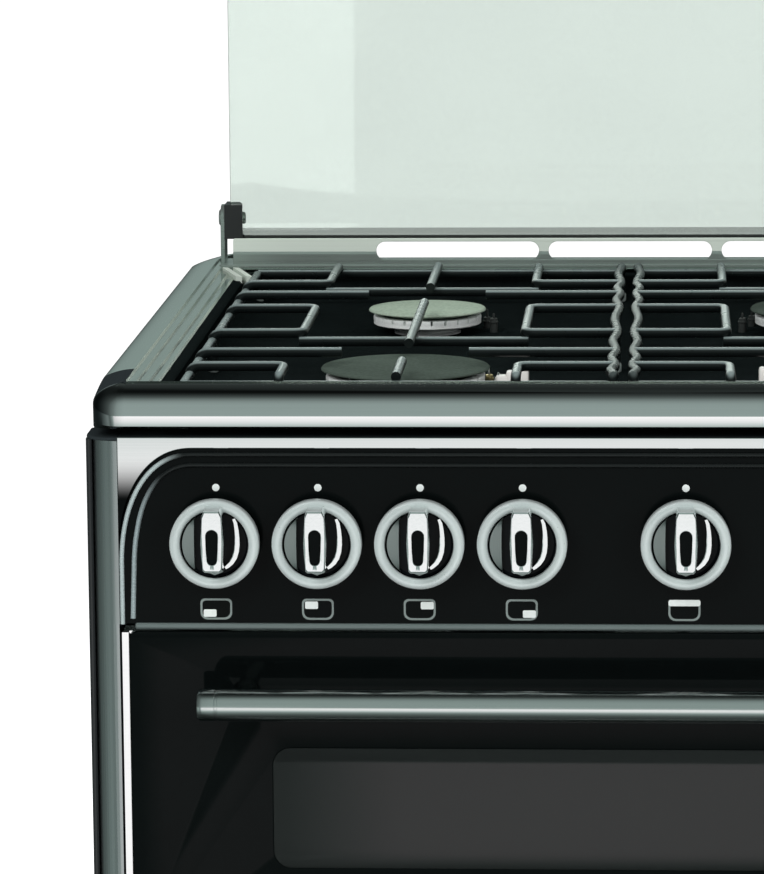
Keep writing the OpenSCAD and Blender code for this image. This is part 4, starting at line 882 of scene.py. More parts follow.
@dataclass
class Studio:
    """Camera, floor, lamps and what shiny surfaces reflect.

    The tables give the strength of what is reflected, for a value from -1 to 1. That is the rise of a
    direction over the horizon or, in the tables named side, how far it points to the front.
    """

    eye: Point = (24.3, -2837.7, 1285.8)
    yaw: float = -3.5234
    pitch: float = 9.2625
    roll: float = -0.5126
    lens: float = 192.915
    floor_half: float = 30000.0
    floor_white: float = 0.86
    floor_glow: float = 0.75
    sky: float = 0.45
    dome_r: float = 12.0
    tint: Point = (0.80, 1.0, 0.95)
    tint_span: Flat = (0.35, 0.9)
    ground: tuple[Flat, ...] = (
        (-1.0, 0.04), (-0.8, 0.1), (-0.55, 0.3), (-0.35, 0.8), (-0.2, 1.0), (-0.1, 1.0), (-0.06, 0.3),
        (-0.03, 0.0), (1.0, 0.0),
    )
    ahead: tuple[Flat, ...] = (
        (-1.0, 0.0), (-0.08, 0.0), (-0.05, 0.25), (0.0, 0.34), (0.63, 0.325), (0.732, 0.305), (0.82, 0.25),
        (0.891, 0.17), (0.945, 0.09), (0.981, 0.048), (1.0, 0.025),
    )
    behind: tuple[Flat, ...] = (
        (0.02, 0.01), (0.05, 0.05), (0.10, 0.22), (0.13, 0.3), (0.3, 0.34), (0.5, 0.2), (0.6, 0.09),
        (0.7, 0.055), (0.74, 0.05), (0.79, 0.012), (0.93, 0.012), (1.0, 0.025),
    )
    ground_side: tuple[Flat, ...] = (
        (-1.0, 0.02), (-0.77, 0.07), (-0.45, 0.12), (0.08, 0.2), (0.5, 0.38), (0.66, 0.44), (0.79, 0.2),
        (0.89, 0.42), (0.95, 0.95), (1.0, 1.0),
    )
    ahead_side: tuple[Flat, ...] = (
        (-1.0, 0.06), (-0.3, 0.13), (0.29, 0.3), (0.7, 0.45), (0.94, 0.8), (0.98, 1.0), (1.0, 1.0),
    )
    behind_side: tuple[Flat, ...] = (
        (-1.0, 1.0), (-0.97, 1.0), (-0.92, 0.25), (-0.84, 0.06), (-0.5, 0.02), (1.0, 0.0),
    )
    lamps: tuple[tuple[str, Point, float, float], ...] = (
        ("key", (-1500, -2600, 2600), 1600, 62),
        ("fill", (2200, -2200, 1500), 1800, 40),
        ("top", (300, 600, 3000), 1600, 16),
        ("rear", (-600, 2800, 2200), 1800, 30),
    )
    aim: Point = (0, 0, 800)

    def build(self) -> None:
        """Sets up everything round the cooker."""
        self.camera()
        self.floor()
        self.dome()
        for lamp in self.lamps:
            self.lamp(*lamp)
        bpy.context.scene.view_settings.view_transform = "Standard"

    def camera(self) -> None:
        """Stands the camera where the picture was taken from."""
        yaw, pitch, roll = (math.radians(v) for v in (self.yaw, self.pitch, self.roll))
        ahead = Vector((math.sin(yaw) * math.cos(pitch), math.cos(yaw) * math.cos(pitch), -math.sin(pitch)))
        right = Vector((math.cos(yaw), -math.sin(yaw), 0))
        up = right.cross(ahead)
        side = right * math.cos(roll) + up * math.sin(roll)
        top = up * math.cos(roll) - right * math.sin(roll)
        turn = Matrix((side, top, -ahead)).transposed().to_4x4()
        data = bpy.data.cameras.new("camera")
        data.lens = self.lens
        data.sensor_width = 36.0
        data.clip_end = 200.0
        camera = new_object("camera", data)
        camera.matrix_world = Matrix.Translation(Vector(self.eye) * MM) @ turn
        bpy.context.scene.camera = camera

    def floor(self) -> None:
        """Lays a plain pale floor that keeps the shadow and stays out of reflections."""
        half = self.floor_half * MM
        mesh = bpy.data.meshes.new("floor")
        corners = [(-half, -half, 0), (half, -half, 0), (half, half, 0), (-half, half, 0)]
        mesh.from_pydata(corners, [], [(0, 1, 2, 3)])
        made = new_material("floor_white")
        tree = made.node_tree
        ray = add_node(tree, "ShaderNodeLightPath").outputs
        seen = calculate(tree, "MAXIMUM", ray["Is Camera Ray"], ray["Is Transmission Ray"])
        inputs = {
            "Base Color": (self.floor_white,) * 3 + (1,),
            "Roughness": 0.9,
            "Specular IOR Level": 0.1,
            "Emission Color": (1, 1, 1, 1),
            "Emission Strength": calculate(tree, "MULTIPLY", seen, self.floor_glow),
        }
        fill(tree, tree.nodes["Principled BSDF"], inputs)
        mesh.materials.append(made)
        floor = new_object("floor", mesh)
        floor.visible_glossy = False
        world = bpy.data.worlds.new("studio")
        world.use_nodes = True
        world.node_tree.nodes["Background"].inputs["Color"].default_value = (self.sky,) * 3 + (1,)
        bpy.context.scene.world = world

    def dome(self) -> None:
        """Sets a big ball round the cooker that only mirror-like surfaces see."""
        ball = bmesh.new()
        bmesh.ops.create_uvsphere(ball, u_segments=64, v_segments=32, radius=self.dome_r)
        mesh = bpy.data.meshes.new("dome")
        ball.to_mesh(mesh)
        ball.free()
        made = new_material("dome_light")
        tree = made.node_tree
        tree.nodes.remove(tree.nodes["Principled BSDF"])
        place = add_node(tree, "ShaderNodeTexCoord").outputs["Object"]
        unit = calculate_vector(tree, "NORMALIZE", place).outputs[0]
        height = add_node(tree, "ShaderNodeSeparateXYZ", {0: unit}).outputs["Z"]
        level = calculate_vector(tree, "MULTIPLY", unit, (1, 1, 0)).outputs[0]
        level = calculate_vector(tree, "NORMALIZE", level).outputs[0]
        facing = calculate_vector(tree, "DOT_PRODUCT", level, (0, -1, 0)).outputs["Value"]
        tables = (
            (self.behind, self.behind_side), (self.ground, self.ground_side), (self.ahead, self.ahead_side)
        )
        parts = [
            calculate(tree, "MULTIPLY", self.look_up(tree, height, rise), self.look_up(tree, facing, side))
            for rise, side in tables
        ]
        total = parts[0]
        for part in parts[1:]:
            total = calculate(tree, "ADD", total, part)
        bright = map_range(tree, total, self.tint_span)
        colour = mix_colours(tree, bright, (*self.tint, 1), (1, 1, 1, 1))
        glow = add_node(tree, "ShaderNodeEmission", {"Color": colour, "Strength": total})
        fill(tree, tree.nodes["Material Output"], {"Surface": glow.outputs[0]})
        made.cycles.emission_sampling = "NONE"
        mesh.materials.append(made)
        dome = new_object("dome", mesh)
        dome.visible_camera = dome.visible_diffuse = dome.visible_shadow = False
        dome.visible_transmission = dome.visible_volume_scatter = False

    @staticmethod
    def look_up(tree: Tree, value: Socket, table: Sequence[Flat]) -> Socket:
        """Looks a value from -1 to 1 up in a table of (value, strength)."""
        share = calculate(tree, "MULTIPLY_ADD", value, 0.5, 0.5)
        curve = add_node(tree, "ShaderNodeFloatCurve", {"Value": share})
        mapping = curve.mapping
        mapping.use_clip = False
        line = mapping.curves[0]
        line.points[0].location = (0.0, table[0][1])
        line.points[1].location = (1.0, table[-1][1])
        for x, y in table:
            line.points.new((x + 1) / 2, y)
        for point in line.points:
            point.handle_type = "VECTOR"
        mapping.update()
        return curve.outputs[0]

    def lamp(self, name: str, at: Point, size: float, watts: float) -> None:
        """Hangs a soft square lamp that faces the cooker and stays out of reflections."""
        data = bpy.data.lights.new(name, "AREA")
        data.size = size * MM
        data.energy = watts
        lamp = new_object(name, data)
        aim = (Vector(self.aim) - Vector(at)).to_track_quat("-Z", "Y")
        lamp.matrix_world = Matrix.Translation(Vector(at) * MM) @ aim.to_matrix().to_4x4()
        lamp.visible_glossy = False


@dataclass
class Arch:
    """The curve of the opening round the control panel, with the width and height of its corners."""

    half: float
    top: float
    foot: float
    corner_w: float = 42.0
    corner_h: float = 64.0
    fullness: float = 2.2

    def left(self, steps: int = 24, first: float = 0.0) -> list[Point]:
        """Points of the left corner as (x, z, turn), where turn runs to 90 at the top."""
        result = []
        for i in range(steps + 1):
            turn = blend(first, 90.0, i / steps)
            c, s = direction(turn)
            x = -self.half + self.corner_w * (1 - max(c, 0.0) ** (2 / self.fullness))
            z = self.top - self.corner_h * (1 - s ** (2 / self.fullness))
            result.append((x, z, turn))
        return result

    def rail(self, low: float) -> list[Point]:
        """Points of the left foot, from a height upwards, and of the left corner."""
        left = self.left(steps=30)
        return [(-self.half, blend(low, left[0][1], s), 0.0) for s in (0.0, 0.3, 0.6, 0.85)] + left

    def path(self) -> list[Flat]:
        """The whole curve from the left foot over the top to the right foot."""
        left = [(-self.half, self.foot)] + [(x, z) for x, z, _ in self.left()]
        return left + [(-x, z) for x, z in reversed(left)]


@dataclass
class FrontFrame:
    """Steel pillars, the plate over the control panel and its lip, whose brightness is a painted highlight.
    """

    pillar_w: float = 18.5
    pillar_r: float = 15.3
    edge_w: float = 3.0
    return_d: float = 20.0
    sheet: float = 1.5
    lip_r: float = 1.3
    lip_inset: float = 3.6
    lip_side: float = 1.6
    cap_t: float = 2.0

    def __post_init__(self) -> None:
        """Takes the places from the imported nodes."""
        self.box = Extent.of("front_frame")
        self.panel_z0 = Extent.of("control_panel").z0
        self.inner = self.box.x1 - self.pillar_w
        self.arch = Arch(self.inner, self.box.z1 - 6.0, self.panel_z0 + 2)

    def section(self, with_return: bool) -> list[Flat]:
        """Plan of the right pillar as a closed bent sheet."""
        x1, y0, y1, r, t = self.box.x1 - self.edge_w, self.box.y0, self.box.y1, self.pillar_r, self.sheet
        outer = [(x1 - r, y0)] + arc(x1 - r, y0 + r, r, -90, 0, 14) + [(x1, y1)]
        inner = [(x1 - t, y1)] + arc(x1 - r, y0 + r, r - t, 0, -90, 14) + [(x1 - r, y0 + t)]
        x0 = self.inner
        if with_return:
            back = y0 + self.return_d
            start = [(x0, back)] + arc(x0 + 1.2, y0 + 1.2, 1.2, 180, 270, 4)
            return start + outer + inner + [(x0 + t, y0 + t), (x0 + t, back)]
        return [(x0, y0)] + outer + inner + [(x0, y0 + t)]

    def build(self) -> None:
        """Makes the frame as one piece."""
        b = self.box
        shape = Shape()
        top = b.z1 - self.cap_t
        for z0, z1, bent in ((b.z0, self.panel_z0, True), (self.panel_z0, top, False)):
            shape.loft([lifted(self.section(bent), z) for z in (z0, z1)])
        edge = rounded(b.x1 - self.edge_w - 0.6, b.y0 + 8.5, b.x1, b.y1, 1.4, 3)
        shape.loft([lifted(edge, z) for z in (b.z0, top)], slot=3)
        # The pillars' caps are in painted shade.
        cap = [(self.inner, b.y1), (self.inner, b.y0)]
        cap += arc(b.x1 - self.pillar_r, b.y0 + self.pillar_r, self.pillar_r, -90, 0, 14) + [(b.x1, b.y1)]
        shape.slab(cap, self.cap_t, Plane.TOP.at(z=top), bevel=0.9, slot=4)
        shape.mirrored()
        self.plate(shape)
        self.lip(shape)
        piece = Piece.of("front_frame", "brushed_steel")
        finishes = (Coat.PILLAR, Coat.PLATE, Coat.LIP, Coat.SIDE_ENAMEL, Coat.SHOULDER)
        piece.show(shape.mesh("front_frame_dressed", flat=LARGE_AREA), *finishes)

    def plate(self, shape: Shape) -> None:
        """Adds the polished plate above the panel, with painted shade at its foot, and the ledge behind it.
        """
        b = self.box
        x0 = -self.inner + 0.15
        curve = [(x, z) for x, z, _ in self.arch.left(first=14.0)]
        low = curve[0][1]
        other = [(-x, z) for x, z in reversed(curve)]
        edge = [(x0, low), *curve, *other, (-x0, low), (-x0, b.z1), (x0, b.z1)]
        shape.slab(edge, self.sheet, Plane.FRONT.at(y=b.y0 + self.sheet), bevel=0.35, slot=1)
        shape.box((x0, b.y0 + self.sheet, b.z1 - self.sheet), (-x0, b.y1, b.z1), 0.4, slot=4)
        shape.slab(edge, 1.0, Plane.FRONT.at(y=b.y1), bevel=0.3, slot=3)

    def lip(self, shape: Shape) -> None:
        """Adds the rolled edge that follows the arch, with a painted highlight that dims to painted shade
        over the top.
        """
        y, r = self.box.y0 + 0.9, self.lip_r
        path = []
        for x, z, t in self.arch.rail(self.panel_z0):
            c, s = direction(t)
            gap = blend(self.lip_side, self.lip_inset, s)
            path.append((x + gap * c, z - gap * s))
        path += [(-x, z) for x, z in reversed(path)]
        rings = []
        for i, (x, z) in enumerate(path):
            before, after = path[max(i - 1, 0)], path[min(i + 1, len(path) - 1)]
            along = Vector((after[0] - before[0], after[1] - before[1])).normalized()
            out = (along.y, -along.x)
            rings.append([(x + out[0] * p, y + q, z + out[1] * p) for p, q in circle(r, steps=24)])
        shape.loft(rings, slot=2)


@dataclass
class Fascia:
    """Black control panel with its bead, strip, printed marks, timer and buttons."""

    bead_w: float = 2.8
    bead_h: float = 1.7
    bead_in: float = 9.3
    bead_side: float = 9.0
    dot_z: float = 838.6
    dot_r: float = 2.1
    strip_h: float = 3.8
    strip_drop: float = 3.0
    strip_half: float = 273.0
    spindle_hole_r: float = 6.0
    button_hole_r: float = 7.05
    window_w: float = 68.0
    window_h: float = 30.0
    icon_z: float = 769.6
    icon_w: float = 17.8
    icon_h: float = 12.0
    line: float = 1.1
    ink: float = 0.12

    def __post_init__(self) -> None:
        """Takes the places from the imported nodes."""
        self.box = Extent.of("control_panel")
        self.frame = Extent.of("front_frame")
        self.face = self.frame.y0 + 1.5
        self.knobs = [Extent.of(f"knob_{i}").centre for i in range(1, 7)]
        self.clock = Extent.of("clock_module")
        self.half = self.frame.x1 - FrontFrame.pillar_w - 0.3
        self.arch = Arch(self.half, self.frame.z1 - 6.3, self.box.z0)

    def build(self) -> None:
        """Makes the panel and what is on it."""
        self.panel()
        self.marks()
        self.timer()
        for body, node in (("spark_button", "ignition_button"), ("lamp_button", "light_button")):
            self.button(body, node)

    def panel(self) -> None:
        """Makes the moulded panel."""
        shape = Shape()
        knob_z = self.knobs[0][2]
        holes = [circle(self.spindle_hole_r, x, knob_z, 24) for x, _, _ in self.knobs]
        holes.append(self.window(0.0, 2.0, 3))
        for node in ("ignition_button", "light_button"):
            x, _, z = Extent.of(node).centre
            holes.append(circle(self.button_hole_r, x, z, 24))
        outline = self.arch.path()
        shape.slab(outline, 4.0, Plane.FRONT.at(y=self.face + 4.0), holes, bevel=0.3)
        low = self.box.z0
        shape.box((-self.half, self.face + 3.9, low), (self.half, self.face + 20, low + 2), 0.3)
        self.bead(shape)
        # The strip's grey is light painted on the panel's foot.
        z0 = low - self.strip_drop
        end = self.strip_half
        shape.box((-end, self.face - 1.3, z0), (end, self.face + 0.5, z0 + self.strip_h), 1.2, slot=2)
        piece = Piece.of("control_panel", "black_gloss")
        finishes = (Coat.PANEL, Coat.BEAD, Coat.STRIP)
        piece.show(shape.mesh("control_panel_dressed", flat=LARGE_AREA), *finishes)

    def window(self, gap: float, r: float, steps: int) -> list[Flat]:
        """Outline of the timer's window, drawn in by a gap all round."""
        w, h = self.window_w / 2 - gap, self.window_h / 2 - gap
        x, z = self.clock.centre[0], self.knobs[0][2]
        return rounded(x - w, z - h, x + w, z + h, r, steps)

    def bead(self, shape: Shape) -> None:
        """Adds the raised bead inside the arch, which meets the rolled edge at its feet."""
        left = self.arch.rail(self.box.z0 + 3)
        stations = [(1, *p) for p in left] + [(-1, *p) for p in reversed(left)]
        rings = []
        for side, x, z, t in stations:
            c, s = direction(t)
            near = max(0.0, 1 - (z - self.box.z0) / 55.0)
            gap = blend(self.bead_side, self.bead_in, s) - 2.0 * near
            fade = min(1.0, (z - self.box.z0) / 12.0)
            ring = []
            for k in range(9):
                turn = math.pi * k / 8
                u = gap - math.cos(turn) * self.bead_w / 2
                ring.append((side * (x + u * c), self.face - math.sin(turn) * self.bead_h * fade, z - u * s))
            rings.append(ring)
        # The bead carries a painted highlight that fades to painted shade over the top.
        shape.loft(rings, closed=False, slot=1)

    def marks(self) -> None:
        """Prints the dots above the knobs and the signs below them."""
        shape = Shape()
        place = Plane.FRONT.at(y=self.face + 0.02)
        for i, (x, _, _) in enumerate(self.knobs):
            shape.slab(circle(self.dot_r, x, self.dot_z, 24), self.ink, place, bevel=0.02)
            self.sign(shape, place, x - 0.7, i)
        piece = Piece("panel_marks", CABINET, "ceramic")
        piece.show(shape.mesh("panel_marks"), Coat.PRINT, Coat.PRINT_GREY)

    def sign(self, shape: Shape, place: Matrix, x: float, index: int) -> None:
        """Prints one sign: a hob outline with the burner's quarter filled, or an oven.

        Args:
            shape: Mesh that gets the print.
            place: Plane of the panel's face.
            x: Centre of the sign.
            index: Which knob it belongs to, from the left.
        """
        w, h, z, t = self.icon_w / 2, self.icon_h / 2, self.icon_z, self.line
        outer = arc(x + w - 4, z - h + 4, 4, -90, 0, 5) + arc(x + w - 2.5, z + h - 2.5, 2.5, 0, 90, 4)
        outer += arc(x - w + 2.5, z + h - 2.5, 2.5, 90, 180, 4) + arc(x - w + 4, z - h + 4, 4, 180, 270, 5)
        inner = [(x + (px - x) * (1 - t / w), z + (pz - z) * (1 - t / h)) for px, pz in outer]
        shape.slab(outer, self.ink, place, [inner], bevel=0.02, slot=1)
        left, low = index in (0, 1), index in (0, 3)
        if index < 4:
            x0 = x - w + 1.6 * t if left else x + 0.6
            z0 = z - h + 1.4 * t if low else z + 0.2
            fill_in = rounded(x0, z0, x0 + w - 2.4 * t + 1, z0 + h - 1.6 * t, 0.8, 3)
        elif index == 4:
            fill_in = rounded(x - w, z + h - 3.6, x + w, z + h, 1.2, 4)
        else:
            fill_in = rounded(x - w + 3, z - h + 3, x + w - 3, z - h + 4.4, 0.6, 3)
        shape.slab(fill_in, self.ink * 1.5, place, bevel=0.02)

    def timer(self) -> None:
        """Makes the timer's window with its plain figures."""
        c, z = self.clock.centre[0], self.knobs[0][2]
        shape = Shape()
        shape.slab(self.window(0.3, 1.8, 4), 4.0, Plane.FRONT.at(y=self.face + 4.0), bevel=0.4)
        shape.box((c - 37, self.face + 4.01, z - 18), (c + 37, self.clock.y1, z + 18), 1.2, slot=1)
        for i, segments in enumerate(("bc", "abged", "abcdef", "abcdef")):
            self.figure(shape, c - 24 + i * 14 + (3 if i > 1 else 0), z, segments)
        place = Plane.FRONT.at(y=self.face + 0.02)
        for dz in (-3.0, 3.0):
            shape.slab(circle(0.7, c + 0.5, z + dz, 12), 0.15, place, bevel=0.02, slot=2)
        piece = Piece("timer_dressed", CABINET, "black_gloss", ("clock_module",))
        piece.show(shape.mesh("timer_dressed"), Coat.DISPLAY, Coat.NYLON, Coat.DIGIT)

    def figure(self, shape: Shape, x: float, z: float, segments: str) -> None:
        """Adds one figure made of the lit segments named by letters a to g."""
        w, h, t = 7.0, 6.5, 1.1
        bars = {
            "a": (0.6, h, w - 0.6, h + t),
            "b": (w - t, 0.8, w, h),
            "c": (w - t, -h + 0.8, w, 0),
            "d": (0.6, -h, w - 0.6, -h + t),
            "e": (0, -h + 0.8, t, 0),
            "f": (0, 0.8, t, h),
            "g": (0.6, 0, w - 0.6, t),
        }
        place = Plane.FRONT.at(y=self.face + 0.02)
        for key in segments:
            x0, z0, x1, z1 = bars[key]
            shape.slab(rounded(x + x0, z + z0, x + x1, z + z1, 0.3, 2), 0.15, place, bevel=0.02, slot=2)

    def button(self, body: str, node: str) -> None:
        """Makes a push button with a domed face."""
        box = Extent.of(node)
        x, _, z = box.centre
        out, r = self.face - box.y0, 7.0
        profile = [(0, -16), (r - 1, -16), (r, -15), (r, out - 1.4), (r - 0.5, out - 0.5)]
        profile += [(r - 1.4, out - 0.1), (r - 2.6, out - 0.25), (2.0, out - 0.7), (0, out - 0.75)]
        shape = Shape().lathe(profile, Plane.FRONT.at(x, self.face, z), 40)
        Piece.of(node, "chrome", body).show(shape.mesh(node), Coat.KNOB_RING)


@dataclass
class Knob:
    """A control knob: satin ring, dark dish, side shelves and a chrome grip with a dark inset."""

    ring_r: float = 25.0
    dish_r: float = 19.0
    ring_h: float = 9.0
    grip_w: float = 12.6
    end_w: float = 10.4
    grip_low: float = 13.4
    inset_w: float = 6.8
    inset_l: float = 20.0
    corners: int = 64

    def build(self, number: int) -> None:
        """Makes one knob.

        Args:
            number: From 1 at the left to 6.
        """
        node = f"knob_{number}"
        box = Extent.of(node)
        x, _, z = box.centre
        place = Plane.FRONT.at(x, box.y1, z)
        shape = Shape()
        self.ring(shape, place)
        self.shelves(shape, place)
        self.grip(shape, place, box.y1 - box.y0)
        piece = Piece.of(node, "satin_chrome", f"control_knob_{number}")
        finishes = (Coat.KNOB_RING, Coat.KNOB_DISH, Coat.KNOB_SHELF, Coat.KNOB_GRIP, Coat.INSET)
        piece.show(shape.mesh(node, flat=LARGE_AREA), *finishes)

    def ring(self, shape: Shape, place: Matrix) -> None:
        """Adds the ring and the dish inside it."""
        r, q, h = self.ring_r, self.dish_r, self.ring_h
        rim = [(6.0, 0.0), (r - 1.2, 0.0), (r - 0.3, 0.5), (r, 1.6), (r, h - 1.5), (r - 0.25, h - 0.9)]
        rim += [(r - 0.8, h - 0.5), (r - 2.0, h - 0.1), (r - 3.2, h)]
        rim += [(q + 1.2, h - 0.35), (q + 0.4, h - 0.8), (q, h - 1.6)]
        shape.lathe(rim, place, 96)
        shape.lathe([(q, h - 1.6), (q - 0.3, 4.4), (q - 1.4, 3.5), (0.01, 3.4)], place, 96, slot=1)

    def shelves(self, shape: Shape, place: Matrix) -> None:
        """Adds the flat shelf at the left and the bright crescent ridge at the right."""
        reach, chord = 18.3, 10.6
        span = math.degrees(math.acos(chord / reach))
        outer = arc(0, 0, reach, 180 - span, 180 + span, 20)
        rings = []
        for x, y in outer:
            inside = -chord - 0.5 * (1 - (y / reach) ** 2)
            rings.append([(inside, y, 3.4), (inside - 0.3, y, 6.6), (x + 0.4, y, 7.4), (x, y, 3.4)])
        shape.loft(placed(place, rings), slot=2)
        ridge = []
        spine = (
            (11.0, 14.4), (12.0, 12.0), (12.6, 8.0), (12.9, 4.0), (12.9, 0.0),
            (12.5, -4.0), (11.4, -7.6), (9.6, -10.4), (7.4, -12.4), (6.0, -13.4),
        )
        for i, (x, y) in enumerate(spine):
            before, after = Vector(spine[max(i - 1, 0)]), Vector(spine[min(i + 1, len(spine) - 1)])
            along = (after - before).normalized()
            out = Vector((-along.y, along.x))
            thick = 1.6 * math.sin(math.pi * (i + 0.8) / (len(spine) + 0.6)) ** 0.35
            levels = ((-1.0, 3.4), (-1.0, 6.8), (-0.75, 7.2), (0.75, 7.2), (1.0, 6.8), (1.0, 3.4))
            ridge.append([(x + out.x * p * thick, y + out.y * p * thick, h) for p, h in levels])
        shape.loft(placed(place, ridge), slot=3)
        heel = [(-5.2, -15.2, 3.4), (-4.6, -15.8, 6.0), (0, -17.6, 6.2)]
        heel += [(4.6, -15.8, 6.0), (5.2, -15.2, 3.4)]
        back = [(x * 0.8, y + 2.6, z) for x, y, z in heel]
        shape.loft(placed(place, (heel, back)), slot=2)

    def outline(self, grow: float) -> list[Flat]:
        """The grip seen from the front, grown by a distance, by equal turns about its middle."""
        w, e = self.grip_w / 2, self.end_w / 2
        top, low = self.dish_r + 2.4, self.grip_low
        corners = [(e, top), (w - 0.4, 11), (w, 3), (w - 0.3, -4), (e, -low)]
        corners += [(-x, y) for x, y in reversed(corners)]
        return self.ray_cut(corners, grow, 0.6)

    def inset(self, grow: float) -> list[Flat]:
        """The inset seen from the front: a slot with round ends, a little wider at the top."""
        r, half = self.inset_w / 2, self.inset_l / 2
        shape = arc(0, half - r, r, 0, 180, 10) + arc(0, -half + r, r * 0.8, 180, 360, 10)
        return self.ray_cut([(x, y + 0.5) for x, y in shape], grow, 0.0)

    def ray_cut(self, polygon: Sequence[Flat], grow: float, offset: float) -> list[Flat]:
        """Samples a polygon round its middle by equal turns.

        Args:
            polygon: Corners in order, round the origin.
            grow: Distance added along each ray.
            offset: Extra height of the rays' centre.

        Returns:
            One point for each turn.
        """
        result = []
        for i in range(self.corners):
            a = 2 * math.pi * i / self.corners
            ray = Vector((math.cos(a), math.sin(a)))
            best = 0.0
            for j, start in enumerate(polygon):
                end = polygon[(j + 1) % len(polygon)]
                edge = Vector(end) - Vector(start)
                cross = ray.x * edge.y - ray.y * edge.x
                if abs(cross) < 1e-9:
                    continue
                s = Vector(start) - Vector((0, offset))
                t = (s.x * edge.y - s.y * edge.x) / cross
                u = (s.x * ray.y - s.y * ray.x) / cross
                if t > 0 and -1e-6 <= u <= 1 + 1e-6:
                    best = max(best, t)
            result.append((ray.x * (best + grow), offset + ray.y * (best + grow)))
        return result

    def grip(self, shape: Shape, place: Matrix, height: float) -> None:
        """Adds the grip with its sunk inset."""
        levels = [(0.9, 1.2), (0.6, 6.0), (0.2, height - 3.0), (0.0, height - 1.0), (-0.35, height - 0.3)]
        levels += [(-1.0, height), (-1.3, height)]
        rings = [lifted(self.outline(grow), h) for grow, h in levels]
        rings += [lifted(self.inset(0.7), height), lifted(self.inset(0.35), height - 0.05)]
        shape.loft(placed(place, rings), caps=False, slot=3)
        head = place.translation.z + self.dish_r - 3.0
        for face in shape.bm.faces:
            face.normal_update()
            if face.material_index == 3 and abs(face.normal.z) > 0.5 and face.calc_center_median().z > head:
                face.material_index = 0
        sunk = [(0.35, height - 0.05), (0.0, height - 0.5), (-0.1, height - 1.0)]
        floor = [lifted(self.inset(grow), h) for grow, h in sunk]
        floor.append([(x * 0.02, 0.5 + (y - 0.5) * 0.02, height - 1.0) for x, y in self.inset(0)])
        shape.loft(placed(place, floor), caps=False, slot=4)


